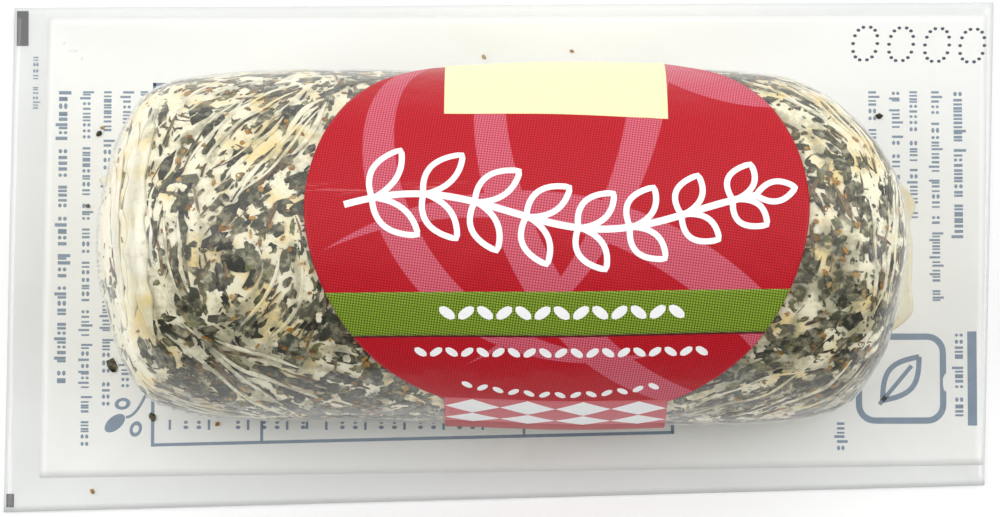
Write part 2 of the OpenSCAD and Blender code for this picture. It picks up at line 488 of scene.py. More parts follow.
def freshCheese(name, gloss):
    material, tree = newTree(name)
    place = addNode(tree, "TexCoord").outputs["Object"]
    broad = addNode(tree, "TexNoise", None, {
        "Vector": place, "Scale": 1000 / cheeseFinish["fatSize"], "Detail": 3.0, "Roughness": 0.6,
    })
    fine = addNode(tree, "TexNoise", None, {
        "Vector": place, "Scale": 1000 / cheeseFinish["curdSize"], "Detail": 4.0, "Roughness": 0.65,
    })
    # herb stain under the surface, with painted shade on the near side
    stainAndShade = addNode(tree, "Attribute", {"attribute_name": "stainAndShade"}).outputs["Fac"]
    ragged = addNode(tree, "Math", {"operation": "MULTIPLY_ADD"}, {
        0: fine.outputs["Fac"], 1: 0.5, 2: stainAndShade,
    })
    # each tint comes in as its pattern rises from low to high, up to its greatest share
    colour = linear(cheeseFinish["curd"])
    for tint, pattern, low, high, most in (
        ("fat", broad.outputs["Fac"], 0.46, 0.68, 1.0),
        ("shade", fine.outputs["Fac"], 0.48, 0.72, 0.55),
        ("smear", ragged.outputs[0], 0.56, 0.84, 0.75),
        ("buried", ragged.outputs[0], 0.84, 1.02, 0.85),
    ):
        share = addNode(tree, "MapRange", softStep, {
            "Value": pattern, "From Min": low, "From Max": high, "To Max": most,
        })
        colour = addNode(tree, "Mix", {"data_type": "RGBA"}, {
            0: share.outputs[0], 6: colour, 7: linear(cheeseFinish[tint]),
        }).outputs[2]
    bump = addNode(tree, "Bump", None, {
        "Strength": 0.35, "Distance": 0.00012, "Height": fine.outputs["Fac"],
    })
    shader = addNode(tree, "BsdfPrincipled", None, {
        "Base Color": colour,
        "Roughness": 0.45,
        "IOR": 1.45,
        "Subsurface Weight": 0.22,
        "Subsurface Radius": (1.0, 0.8, 0.5),
        "Subsurface Scale": 0.0008,
        "Coat Weight": gloss,
        "Coat Roughness": 0.14,
        "Normal": bump.outputs[0],
    })
    addNode(tree, "OutputMaterial", None, {"Surface": shader.outputs[0]})
    return material


# Leaves and stems of garden herbs, dried and rubbed small. They are dull and nearly opaque, from
# near black through olive to straw, with veins that run along the flake and cheese smeared on top.
def herbMaterial(name, finish):
    # finish: colours for the flakes to draw from, how much cheese is smeared over them, the size of
    # their veins in mm, and their roughness
    material, tree = newTree(name)
    place = addNode(tree, "TexCoord").outputs["Object"]
    tone = addNode(tree, "Attribute", {"attribute_name": "tone"}).outputs["Fac"]
    ramp = addNode(tree, "ValToRGB", None, {"Fac": tone})
    shades = finish["colours"]
    for k, code in enumerate(shades):
        spot = k / (len(shades) - 1)
        stop = ramp.color_ramp.elements[k] if k < 2 else ramp.color_ramp.elements.new(spot)
        stop.position = spot
        stop.color = linear(code)
    # the flake's own length and width in mm, so that its veins run along it
    own = addNode(tree, "Attribute", {"attribute_name": "leaf"}).outputs["Vector"]
    drawn = addNode(tree, "Mapping", None, {"Vector": own, "Scale": (0.45, 2.6, 1.0)})
    veins = addNode(tree, "TexNoise", None, {
        "Vector": drawn.outputs[0], "Scale": 1 / finish["grain"], "Detail": 5.0, "Roughness": 0.7,
    })
    shaded = addNode(tree, "HueSaturation", None, {
        "Color": ramp.outputs["Color"],
        "Value": addNode(tree, "MapRange", None, {
            "Value": veins.outputs["Fac"], "From Min": 0.3, "From Max": 0.7, "To Min": 0.5, "To Max": 1.7,
        }).outputs[0],
    })
    smear = addNode(tree, "TexNoise", None, {
        "Vector": place, "Scale": 900.0, "Detail": 4.0, "Roughness": 0.6,  # patches 1.1 mm across
    })
    veil = addNode(tree, "MapRange", softStep, {
        "Value": smear.outputs["Fac"], "From Min": 0.46, "From Max": 0.66, "To Max": finish["smear"],
    })
    colour = addNode(tree, "Mix", {"data_type": "RGBA"}, {
        0: veil.outputs[0], 6: shaded.outputs[0], 7: linear(finish["veil"]),
    }).outputs[2]
    bump = addNode(tree, "Bump", None, {
        "Strength": 0.5, "Distance": 0.00015, "Height": veins.outputs["Fac"],
    })
    shader = addNode(tree, "BsdfPrincipled", None, {
        "Base Color": colour, "Roughness": finish["roughness"], "IOR": 1.45, "Normal": bump.outputs[0],
    })
    addNode(tree, "OutputMaterial", None, {"Surface": shader.outputs[0]})
    return material


# Clear polyamide and polyethylene film, drawn down over the log under vacuum. It is see-through
# and glossy, so it shows only by what it mirrors, most at a slant, and by a trace of haze.
filmFinish = {"ior": 1.5, "roughness": 0.10, "haze": 0.014, "wrinkleSize": 1.6}


def clearFilm(name, haze, roughness):
    material, tree = newTree(name)
    place = addNode(tree, "TexCoord").outputs["Object"]
    stretched = addNode(tree, "Mapping", None, {"Vector": place, "Scale": (1.0, 0.55, 0.55)})
    wrinkles = addNode(tree, "TexNoise", None, {
        "Vector": stretched.outputs[0], "Scale": 1000 / filmFinish["wrinkleSize"],
        "Detail": 3.0, "Distortion": 0.6,
    })
    bump = addNode(tree, "Bump", None, {
        "Strength": 0.5, "Distance": 0.00016, "Height": wrinkles.outputs["Fac"],
    })
    mirror = addNode(tree, "BsdfGlossy", None, {
        "Color": (1, 1, 1, 1), "Roughness": roughness, "Normal": bump.outputs[0],
    })
    through = addNode(tree, "BsdfTransparent", None, {"Color": (0.985, 0.99, 0.985, 1)})
    milk = addNode(tree, "BsdfDiffuse", None, {"Color": (0.95, 0.95, 0.93, 1)})
    # a thin film mirrors the same from both sides, so the ratio is turned over for its back
    ratio = addNode(tree, "MapRange", None, {
        "Value": addNode(tree, "NewGeometry").outputs["Backfacing"],
        "To Min": filmFinish["ior"], "To Max": 1 / filmFinish["ior"],
    })
    slant = addNode(tree, "Fresnel", None, {"IOR": ratio.outputs[0], "Normal": bump.outputs[0]})
    hazy = addNode(tree, "MixShader", None, {0: haze, 1: through.outputs[0], 2: milk.outputs[0]})
    film = addNode(tree, "MixShader", None, {
        0: slant.outputs[0], 1: hazy.outputs[0], 2: mirror.outputs[0],
    })
    addNode(tree, "OutputMaterial", None, {"Surface": film.outputs[0]})
    return material


# Flexographic and jet ink, laid thin on smooth film and dried. It is flat and even, a little
# softer in gloss than the film, with a fine mottle, so that a field of it is never quite one tone.
def plainInk(name, code, roughness):
    material, tree = newTree(name)
    place = addNode(tree, "TexCoord").outputs["Object"]
    mottle = addNode(tree, "TexNoise", None, {"Vector": place, "Scale": 700.0, "Detail": 3.0})
    value = addNode(tree, "MapRange", None, {
        "Value": mottle.outputs["Fac"], "From Min": 0.3, "From Max": 0.7, "To Min": 0.95, "To Max": 1.05,
    })
    colour = addNode(tree, "HueSaturation", None, {
        "Color": linear(code), "Value": value.outputs[0],
    })
    shader = addNode(tree, "BsdfPrincipled", None, {
        "Base Color": colour.outputs[0], "Roughness": roughness, "IOR": 1.48,
    })
    addNode(tree, "OutputMaterial", None, {"Surface": shader.outputs[0]})
    return material


# The cheese

cheeseForm = {
    "level": -0.28,  # below the film's skin
    "curd": 0.16,  # height of its crumbly unevenness
    "curdSize": 1.5,
    "grain": 0.06,
    "grainSize": 0.7,
}
fineRelief = cheeseForm["curd"] * noiseAt(skinPoints, cheeseForm["curdSize"], 3)
fineRelief = fineRelief + cheeseForm["grain"] * noiseAt(skinPoints, cheeseForm["grainSize"], 4)
lift = (cheeseForm["level"] + softRelief + fineRelief * (1 - 0.8 * gridCover)) * footFade
cheesePoints = skinPoints + skinNormals * lift[..., None]
cheesePoints[..., 2] = np.maximum(cheesePoints[..., 2], lidTop + 0.01)
# herb under the surface: soft patches, drawn out along the creases, and fewer at the ends; more of it on the
# near side paints shade there
stainForm = {
    "patches": ((0.55, 1.5, 3.2), (0.45, 0.8, 2.2)),  # share, size and how far drawn out
    "spread": 0.17,
    "drift": 0.06,
    "driftSize": 6.0,
    # far and near: the near side's greater share is more herb and painted shade
    "far": 0.34,
    "near": 0.46,
    "ends": 0.45,
    "leftEnd": (-38.8, 3.2),  # x where it starts to fade, and over what length
    "rightEnd": (44.0, 1.9),
}


def nearSideShade(turn):
    # 0 on the far side of the log and 1 on the near side, which has more herbs and painted shade
    return smoothStep((25 - turn) / 70)


xOnLog = skinPoints[..., 0]
endShare = np.maximum(
    smoothStep((stainForm["leftEnd"][0] - xOnLog) / stainForm["leftEnd"][1]),
    smoothStep((xOnLog - stainForm["rightEnd"][0]) / stainForm["rightEnd"][1]),
)
stainAndShade = 0
for k, (share, size, reach) in enumerate(stainForm["patches"]):
    stainAndShade = stainAndShade + share * drawnOut(noiseAt(skinPoints, size, 61 + k), reach)
stainAndShade = stainAndShade / max(stainAndShade.std(), 1e-6) * stainForm["spread"]
stainAndShade = stainAndShade + stainForm["drift"] * noiseAt(skinPoints, stainForm["driftSize"], 63)
# darker towards the near side: painted shade as well as herb
stainAndShade = stainAndShade + mixOf(stainForm["far"], stainForm["near"], nearSideShade(gridTurns)) - stainForm["ends"] * endShare
poles = np.stack([cheesePoints[0].mean(0), cheesePoints[-1].mean(0)])
n = rowCount * turnCount
ring = np.arange(turnCount)
nextRing = (ring + 1) % turnCount
leftFan = np.stack([nextRing, ring, np.full(turnCount, n)], -1)
rightFan = np.stack([ring, nextRing, np.full(turnCount, n + 1)], -1) + [n - turnCount, n - turnCount, 0]
cheese = meshObject(
    "cheese",
    np.concatenate([cheesePoints.reshape(-1, 3), poles]),
    [gridFaces(rowCount, turnCount, closed=True)[:, ::-1], leftFan[:, ::-1], rightFan[:, ::-1]],
    freshCheese("fresh goat cheese, rolled by hand", 0.25),
    values={"stainAndShade": np.concatenate([stainAndShade.ravel(), [0, 0]])},
)
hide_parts("cheese_log")
print("cheese made,", n, "points")


# Dried herbs

# Each kind: how many, length and width in mm, points of its outline, thickness, how deep it has
# sunk, how far it is turned along the creases, and its finish
herbKinds = {
    "herb_leaf_broad": {
        "count": 440, "length": (1.8, 4.2), "width": (0.45, 0.8), "corners": 8, "thick": 0.14, "sunk": 0.06,
        "colours": ["191a0e", "32331e", "4e4e36", "3a3c34", "67674e"], "veil": "dcd6b8", "smear": 0.5,
        "grain": 0.6, "roughness": 0.42, "bend": 0.1, "drawn": 0.7,
    },
    "herb_leaf_dark": {
        "count": 1400, "length": (0.9, 3.6), "width": (0.35, 0.8), "corners": 9, "thick": 0.16, "sunk": 0.05,
        "colours": ["0e0f06", "20220e", "393a20", "26281a"], "veil": "bdb594", "smear": 0.42,
        "grain": 0.5, "roughness": 0.42, "bend": 0.15, "drawn": 0.9,
    },
    "herb_leaf_grey": {
        "count": 1150, "length": (0.9, 3.4), "width": (0.3, 0.7), "corners": 9, "thick": 0.12, "sunk": 0.07,
        "colours": ["32312a", "514e3d", "6e6a52", "484534", "63655a"], "veil": "dcd3ae", "smear": 0.6,
        "grain": 0.5, "roughness": 0.5, "bend": 0.15, "drawn": 0.95,
    },
    "herb_stem": {
        "count": 800, "length": (1.2, 4.2), "width": (0.09, 0.2), "corners": 8, "thick": 0.2, "sunk": 0.04,
        "colours": ["33281d", "5a4530", "786243", "4c473c"], "veil": "d0c498", "smear": 0.35,
        "grain": 0.3, "roughness": 0.5, "bend": 0.25, "drawn": 0.85,
    },
    "herb_leaf_olive": {
        "count": 900, "length": (0.6, 2.0), "width": (0.4, 0.9), "corners": 7, "thick": 0.15, "sunk": 0.05,
        "colours": ["292c14", "474a22", "66673a", "50523a"], "veil": "d2c89c", "smear": 0.4,
        "grain": 0.45, "roughness": 0.45, "bend": 0.1, "drawn": 0.7,
    },
    "herb_speck_ochre": {
        "count": 1150, "length": (0.25, 1.15), "width": (0.45, 0.9), "corners": 7, "thick": 0.17,
        "sunk": 0.03,
        "colours": ["5f3f14", "93631a", "b0802c", "76561f"], "veil": "eedfae", "smear": 0.35,
        "grain": 0.4, "roughness": 0.45, "bend": 0.0, "drawn": 0.5,
    },
    "herb_speck_dark": {
        "count": 4200, "length": (0.25, 1.1), "width": (0.45, 0.9), "corners": 5, "thick": 0.12, "sunk": 0.03,
        "colours": ["242116", "423e2c", "5f583c", "4a4b42"], "veil": "cbc196", "smear": 0.35,
        "grain": 0.35, "roughness": 0.5, "bend": 0.0, "drawn": 0.6,
    },
}


herbPlaces = {
    "dense": 0.92,
    "denserAndShade": 0.25,  # more on the near side, partly as painted shade, and, by the next share of it, at the right
    "right": 0.6,
    "patchSize": 5.5,
    "leftEnd": (-37.6, 4.0, 0.88),  # x where they thin out, over what length, and by what share
    "rightEnd": (44.0, 2.2, 0.8),
    "aboveFoot": 1.0,
    "poleFree": 1.6,  # none this near the middle of each end of the grid
}
flakeForm = {
    "turnSpread": 0.16,  # of those turned along the creases, in radians
    "stretch": 1.3,  # and how much longer and narrower they are drawn
    "narrow": 0.72,
    "tilt": 0.03,
    "under": -0.22,  # level of their lower side, in the cheese
}


def herbDensity():
    # how thickly the herbs lie on each place of the grid; none under the label or at the foot
    x = skinPoints[..., 0]
    turn = gridTurns[None, :] + 0 * x
    # more herbs on the near side darken it as painted shade
    more = np.maximum(nearSideShade(turn), herbPlaces["right"] * smoothStep((x - 15) / 20))
    dense = herbPlaces["dense"] + herbPlaces["denserAndShade"] * more
    patches = noiseAt(skinPoints, herbPlaces["patchSize"], 11) + 0.5 * noiseAt(skinPoints, 2.6, 12)
    dense = dense * np.clip(0.85 + 0.4 * patches, 0.2, 1.4)
    for sign, key in ((-1, "leftEnd"), (1, "rightEnd")):
        start, length, share = herbPlaces[key]
        dense = dense * (1 - share * smoothStep(sign * (x - start) / length))
    dense = dense * (skinPoints[..., 2] > lidTop + herbPlaces["aboveFoot"]) * (labelCover(x, turn, 0.6) < 0.3)
    cells = turnLength * 360 / gridForm["turns"] * np.gradient(gridSteps)[:, None]
    inner = (gridSteps > herbPlaces["poleFree"]) & (gridSteps < runLength - herbPlaces["poleFree"])
    return dense * cells * inner[:, None]


def herbFlakes(kind, seed, weights):
    rng = np.random.default_rng(seed)
    count, corners = kind["count"], kind["corners"]
    cell = rng.choice(weights.size, count, p=weights.ravel() / weights.sum())
    s0 = gridSteps[cell // turnCount] + rng.uniform(-0.2, 0.2, count)
    t0 = gridTurns[cell % turnCount] + rng.uniform(-0.6, 0.6, count)
    length = rng.uniform(0, 1, count) ** 1.5 * (kind["length"][1] - kind["length"][0]) + kind["length"][0]
    width = length * rng.uniform(*kind["width"], count)
    way = rng.uniform(0, math.pi, count)
    flow = flowWay.reshape(-1, 2)[cell]
    follow = rng.uniform(0, 1, count) < kind["drawn"] * flowShare.ravel()[cell]
    along = np.arctan2(flow[:, 1], flow[:, 0]) + rng.normal(0, flakeForm["turnSpread"], count)
    way = np.where(follow, along, way)
    length = np.where(follow, length * flakeForm["stretch"], length)
    width = np.where(follow, width * flakeForm["narrow"], width)
    angle = np.arange(corners) * 2 * math.pi / corners + rng.uniform(-0.25, 0.25, (count, corners))
    radius = rng.uniform(0.72, 1.12, (count, corners))
    a = np.cos(angle) * radius * length[:, None] / 2
    b = np.sin(angle) * radius * width[:, None] / 2
    b = b + kind["bend"] * rng.normal(0, 1, (count, 1)) * (a * a / length[:, None])
    own = np.stack([a, b, np.zeros_like(a)], -1)
    middle = np.zeros((count, 1, 3))
    own = np.concatenate([own, own, middle, middle], 1) + rng.uniform(0, 60, (count, 1, 3))
    a, b = turned(a, b, way[:, None])
    perDegree = np.maximum(sample(turnLength, s0, t0), 0.03)[:, None]
    s = s0[:, None] + a
    t = t0[:, None] + b / perDegree
    tilt = rng.normal(0, flakeForm["tilt"], (count, 2, 1))
    edge = kind["thick"] * rng.uniform(0.55, 1.0, (count, 1)) + tilt[:, 0] * a + tilt[:, 1] * b - kind["sunk"]
    base = cheeseForm["level"]
    under = base + flakeForm["under"]
    crown = edge.mean(1) + rng.normal(0, 0.04, count)
    top = onLog(s, t, base + edge)
    low = onLog(s, t, np.full_like(s, under))
    crownPoint = onLog(s0, t0, base + crown)[:, None]
    lowPoint = onLog(s0, t0, np.full(count, under))[:, None]
    points = np.concatenate([top, low, crownPoint, lowPoint], 1)
    each = 2 * corners + 2
    k = np.arange(corners)
    j = (k + 1) % corners
    faces = np.concatenate([
        np.stack([k, j, np.full(corners, 2 * corners)], -1),
        np.stack([j, k, k + corners], -1),
        np.stack([j, k + corners, j + corners], -1),
        np.stack([j + corners, k + corners, np.full(corners, 2 * corners + 1)], -1),
    ])
    faces = (faces[None] + (np.arange(count) * each)[:, None, None]).reshape(-1, 3)
    tone = np.repeat(rng.uniform(0, 1, count), each)
    points = points.reshape(-1, 3)
    points[:, 2] = np.maximum(points[:, 2], lidTop + 0.02)
    return points, faces, tone, own.reshape(-1, 3)


herbWeights = herbDensity()
for seed, (name, kind) in enumerate(herbKinds.items()):
    points, faces, tone, own = herbFlakes(kind, 100 + seed, herbWeights)
    finish = herbMaterial("dried " + name.replace("_", " ") + ", rubbed", kind)
    meshObject(name, points, faces, finish, smooth=False, values={"tone": tone, "leaf": own})
print("herbs made")


def creaseTube(crease, path):
    # a low rounded ridge, closed at both ends
    sides = 8
    s, t = crease["s"], crease["t"]
    count = len(s)
    normal = sample(skinNormals, s, t)
    ahead = np.gradient(path, axis=0)
    ahead /= np.linalg.norm(ahead, axis=1, keepdims=True)
    side = np.cross(normal, ahead)
    lumps = 1 + 0.35 * noiseAt(path, 1.7, 22)
    turnRound = np.linspace(0, 2 * math.pi, sides, endpoint=False)
    across = np.cos(turnRound)[None, :] * (crease["width"] / 2 * lumps)[:, None]
    up = np.sin(turnRound)[None, :] * (crease["height"] * lumps)[:, None]
    up = np.where(up < 0, up * 0.5, up)
    points = path[:, None] + side[:, None] * across[..., None] + normal[:, None] * up[..., None]
    quads = gridFaces(count, sides, closed=True)
    triangles = np.concatenate([quads[:, [0, 1, 2]], quads[:, [0, 2, 3]]])
    caps = [[0, k + 1, k] for k in range(1, sides - 1)]
    last = (count - 1) * sides
    caps += [[last, last + k, last + k + 1] for k in range(1, sides - 1)]
    return points.reshape(-1, 3), np.concatenate([triangles, caps])


points, faces = joined([creaseTube(c, path) for c, path in zip(creases, creasePlaces)])
# the creases take the stain and the painted shade of the cheese under them
creaseStainAndShade = np.concatenate([np.repeat(sample(stainAndShade, c["s"], c["t"]), 8) for c in creases])
creaseStainAndShade = 0.6 * creaseStainAndShade + 0.16 + 0.22 * noiseAt(points, 2.2, 64)
meshObject(
    "cheese_creases", points, faces, freshCheese("fresh goat cheese, pressed into folds", 0.8),
    values={"stainAndShade": creaseStainAndShade},
)
print("creases made,", len(faces), "triangles")


# The sealed border's gentle waves, shared by all that lies in it

borderForm = {
    "lift": 0.7,
    "waveSize": 24.0,
    "ripple": 0.12,
    "rippleSize": 7.0,
    "fromLog": (0.0, 0.5),  # how far beyond the log's end and side it starts
    "over": (12.5, 9.5),  # and over what width it grows
}


def packCorners():
    # the film's outline, a little out of square as it was cut
    far, near = filmHigh[1], filmLow[1]
    left, right = filmLow[0], filmHigh[0]
    return {
        "farLeft": (left + 0.8, far - 0.7),
        "farRight": (right, far),
        "nearRight": (right - 1.6, near + 3.2),
        "nearLeft": (left, near),
    }


corners = {key: np.array(value) for key, value in packCorners().items()}


def onPack(u, v):
    # place on the pack's outline from shares along and across it
    u, v = np.asarray(u)[..., None], np.asarray(v)[..., None]
    near = mixOf(corners["nearLeft"], corners["nearRight"], u)
    far = mixOf(corners["farLeft"], corners["farRight"], u)
    return mixOf(near, far, v)


def borderLift(x, y):
    x, y = np.broadcast_arrays(np.asarray(x, float), np.asarray(y, float))
    beyondEnd = np.abs(x) - halfLength - borderForm["fromLog"][0]
    beyondSide = np.abs(y) - halfWidth - borderForm["fromLog"][1]
    out = np.maximum(beyondEnd / borderForm["over"][0], beyondSide / borderForm["over"][1])
    place = np.stack([x, y, 0 * x], -1)
    wave = 0.5 + 0.5 * noiseAt(place, borderForm["waveSize"], 41)
    ripple = borderForm["ripple"] * noiseAt(place, borderForm["rippleSize"], 42)
    return np.maximum(0, borderForm["lift"] * wave + ripple) * smoothStep(out) ** 1.5


def onBorder(x, y, z):
    return np.stack(np.broadcast_arrays(x, y, z + borderLift(x, y)), -1)


# The formed film

filmForm = {
    "foldReach": 0.55,  # how far from a fold the film is lifted, as a share of the fold's width
    "foldCover": 0.06,  # how far above the cheese in the fold it runs
    "clearance": 0.03,
    "footRadius": 1.4,
    "borderTop": 0.2,
    "underFoot": 0.985,  # the border starts this far out, just under the log's foot
}
nextSize = creaseSizes[creaseNext]
folds = np.maximum(creaseForm["level"] + nextSize[..., 1] + filmForm["foldCover"], 0.0)
folds = folds + filmForm["clearance"]
fallOff = np.clip(creaseAway - 0.25, 0, None) / (nextSize[..., 0] * filmForm["foldReach"] + 0.1)
folds = folds * np.exp(-(fallOff ** 2)) * (1 - gridCover)
filmPoints = skinPoints + skinNormals * ((softRelief + folds) * footFade + filmForm["clearance"])[..., None]
# the film can't follow the sharp corner at the foot, so it leaves the wall in a small round
height = np.clip(filmPoints[..., 2] - lidTop - filmForm["borderTop"], 0, None)
roundOut = np.clip(filmForm["footRadius"] - height, 0, None) ** 2 / (2 * filmForm["footRadius"])
flatWay = filmPoints[..., :2] / np.array([halfLength, halfWidth])
flatWay = flatWay / np.maximum(np.linalg.norm(flatWay, axis=-1, keepdims=True), 1e-6)
aboveFloor = skinPoints[..., 2] > lidTop + 0.02
filmPoints[..., :2] += flatWay * roundOut[..., None] * aboveFloor[..., None]
filmPoints[..., 2] = np.maximum(filmPoints[..., 2], lidTop + filmForm["borderTop"] - 0.01)
quads = gridFaces(rowCount, turnCount, closed=True)[:, ::-1]
showing = aboveFloor.ravel()[quads].any(1)
quads = quads[showing]
filmPoles = np.stack([filmPoints[0].mean(0), filmPoints[-1].mean(0)])
# the border: rings from under the log's foot out to the cut edge, then down to the lidding film
ringCount, columnCount = 18, 360
azimuth = np.arange(columnCount) * 2 * math.pi / columnCount
longest = np.maximum(np.abs(np.cos(azimuth)), np.abs(np.sin(azimuth)))
edgePlace = onPack((1 + np.cos(azimuth) / longest) / 2, (1 + np.sin(azimuth) / longest) / 2)
footWay = np.stack([np.cos(azimuth), np.sin(azimuth)], -1)
footLevel = np.full(columnCount, (lidTop - middleZ) / wallDrop)
low, high = halved(
    lambda r: shapeSize(r * footWay[:, 0], r * footWay[:, 1], footLevel) < 1,
    np.zeros(columnCount), np.full(columnCount, 2.0), 24,
)
footPlace = footWay * low[:, None] * [halfLength, halfWidth] * filmForm["underFoot"]
share = (np.arange(ringCount) / (ringCount - 1))[:, None, None]
ringPlaces = mixOf(footPlace[None], edgePlace[None], share)
borderTop = onBorder(ringPlaces[..., 0], ringPlaces[..., 1], lidTop + filmForm["borderTop"])
borderEdge = onBorder(edgePlace[:, 0], edgePlace[:, 1], lidTop + 0.01)
borderPoints = np.concatenate([borderTop.reshape(-1, 3), borderEdge])
n = filmPoints.shape[0] * filmPoints.shape[1]
filmFaces = [
    quads,
    leftFan[:, ::-1],
    rightFan[:, ::-1],
    gridFaces(ringCount + 1, columnCount, closed=True, first=n + 2)[:, ::-1],
]
film = meshObject(
    "formed_film_skin",
    np.concatenate([filmPoints.reshape(-1, 3), filmPoles, borderPoints]),
    filmFaces,
    clearFilm("polyamide film, vacuum formed", filmFinish["haze"], filmFinish["roughness"]),
)
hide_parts("formed_film")
print("film made,", len(quads), "quads")


# The lidding film with its print

# Polyester and polyethylene laminate, printed and then cut. It is thin, smooth and milky, and
# clear outside the white field.
liddingForm = {
    "along": 150,  # places in its mesh
    "across": 76,
    "top": 0.19,
    "fieldOut": 0.006,  # how far the white field stands out of the film, on both sides
    "printOut": 0.012,  # and the marks
    "whiteField": [(-54.8, -26.4), (57.2, -24.9), (58.2, 29.0), (-54.2, 28.6)],
}
liddingColours = {"clear": "fbfcfc", "white": "f8f8f6", "blue": "8092a6", "navy": "2a3350", "grey": "5b5b60"}


def milkyFilm(name, code, clearShare):
    material, tree = newTree(name)
    place = addNode(tree, "TexCoord").outputs["Object"]
    # the sealing bars press a fine slanting rib into the film, one every 0.9 mm
    ribs = addNode(tree, "TexWave", {"bands_direction": "DIAGONAL"}, {
        "Vector": place, "Scale": 175.0, "Distortion": 0.5, "Detail": 1.0,
    })
    waves = addNode(tree, "TexNoise", None, {"Vector": place, "Scale": 90.0, "Detail": 3.0})
    height = addNode(tree, "Math", {"operation": "MULTIPLY_ADD"}, {
        0: ribs.outputs["Fac"], 1: 0.05, 2: waves.outputs["Fac"],
    })
    bump = addNode(tree, "Bump", None, {
        "Strength": 0.35, "Distance": 0.0006, "Height": height.outputs[0],
    })
    shader = addNode(tree, "BsdfPrincipled", None, {
        "Base Color": linear(code), "Roughness": 0.28, "IOR": 1.5, "Normal": bump.outputs[0],
    })
    through = addNode(tree, "BsdfTransparent", None, {"Color": (1, 1, 1, 1)})
    both = addNode(tree, "MixShader", None, {
        0: clearShare, 1: shader.outputs[0], 2: through.outputs[0],
    })
    addNode(tree, "OutputMaterial", None, {"Surface": both.outputs[0]})
    return material


def patch(outline, low, high, columns=12, rows=12):
    # a thin closed sheet in the border, from four corners in x and y: near left, near right, far
    # right and far left
    a, b, c, d = [np.array(p, float) for p in outline]
    u = np.linspace(0, 1, columns)[None, :, None]
    v = np.linspace(0, 1, rows)[:, None, None]
    place = mixOf(mixOf(a, b, u), mixOf(d, c, u), v)
    top = onBorder(place[..., 0], place[..., 1], high).reshape(-1, 3)
    under = onBorder(place[..., 0], place[..., 1], low).reshape(-1, 3)
    return slab(top, under, rows, columns)


points, faces = patch(
    [corners["nearLeft"], corners["nearRight"], corners["farRight"], corners["farLeft"]],
    0.0, liddingForm["top"], liddingForm["along"], liddingForm["across"],
)
clearSheet = milkyFilm("polyester lidding film, cut", liddingColours["clear"], 0.35)
lidding = meshObject("lidding_sheet", points, faces, clearSheet)
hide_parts("lidding_film")
whiteOut = liddingForm["fieldOut"]
points, faces = patch(liddingForm["whiteField"], -whiteOut, liddingForm["top"] + whiteOut, 110, 56)
whiteInk = milkyFilm("white flexographic ink", liddingColours["white"], 0.0)
meshObject("white_field", points, faces, whiteInk)
printLow, printTop = -liddingForm["printOut"], liddingForm["top"] + liddingForm["printOut"]


def bar(x0, y0, x1, y1, columns=3, rows=3):
    return patch([(x0, y0), (x1, y0), (x1, y1), (x0, y1)], printLow, printTop, columns, rows)


def disc(x, y, radiusX, radiusY, lean=0.0, inner=0.0, sides=20):
    # a printed disc or, with an inner share, a ring
    k = np.arange(sides)
    angle = k * 2 * math.pi / sides
    rings = []
    for share in (1.0, max(inner, 0.02)):
        a, b = turned(np.cos(angle) * radiusX * share, np.sin(angle) * radiusY * share, lean)
        rings.append((x + a, y + b))
    layers = []
    for z in (printTop, printLow):
        for place in rings:
            layers.append(onBorder(place[0], place[1], z))
    outerTop, innerTop, outerLow, innerLow = [k + sides * m for m in range(4)]
    faces = []
    for a, b in ((outerTop, innerTop), (innerTop, innerLow), (innerLow, outerLow), (outerLow, outerTop)):
        faces.append(np.stack([a, np.roll(a, -1), np.roll(b, -1), b], -1))
    return np.concatenate(layers), np.concatenate(faces)


def halfLine(path, width):
    # from the middle of a line in the plane to its left side
    ahead = np.gradient(path, axis=0)
    ahead /= np.maximum(np.linalg.norm(ahead, axis=1, keepdims=True), 1e-9)
    return np.stack([-ahead[:, 1], ahead[:, 0]], -1) * width / 2


def stroke(path, width):
    # a printed line through places in x and y
    path = np.array(path, float)
    side = halfLine(path, width)
    place = np.stack([path - side, path + side], 1)
    top = onBorder(place[..., 0], place[..., 1], printTop).reshape(-1, 3)
    under = onBorder(place[..., 0], place[..., 1], printLow).reshape(-1, 3)
    return slab(top, under, len(path), 2)


# Columns of print that stand for text: x, from y, to y, height of the small blocks, how bold
textColumns = [
    (-52.3, 19.8, -14.7, 1.5, 0.9), (-49.5, 19.8, -22.2, 1.35, 0.7), (-47.0, 19.8, -17.5, 1.35, 0.7),
    (-44.7, 19.8, -16.0, 1.35, 0.7), (-42.6, 19.8, 10.0, 1.35, 0.7),
    (44.4, 19.8, -4.0, 1.35, 0.7), (47.2, 19.8, 6.5, 1.35, 0.7), (49.3, 19.8, 5.0, 1.35, 0.7),
    (51.9, 19.8, -5.0, 1.35, 0.7), (54.6, 19.8, 2.0, 1.5, 0.8), (54.5, -9.2, -20.0, 1.4, 0.8),
    (-55.6, 23.9, 17.7, 0.9, 0.6), (40.4, -19.8, -23.6, 1.3, 0.8),
]


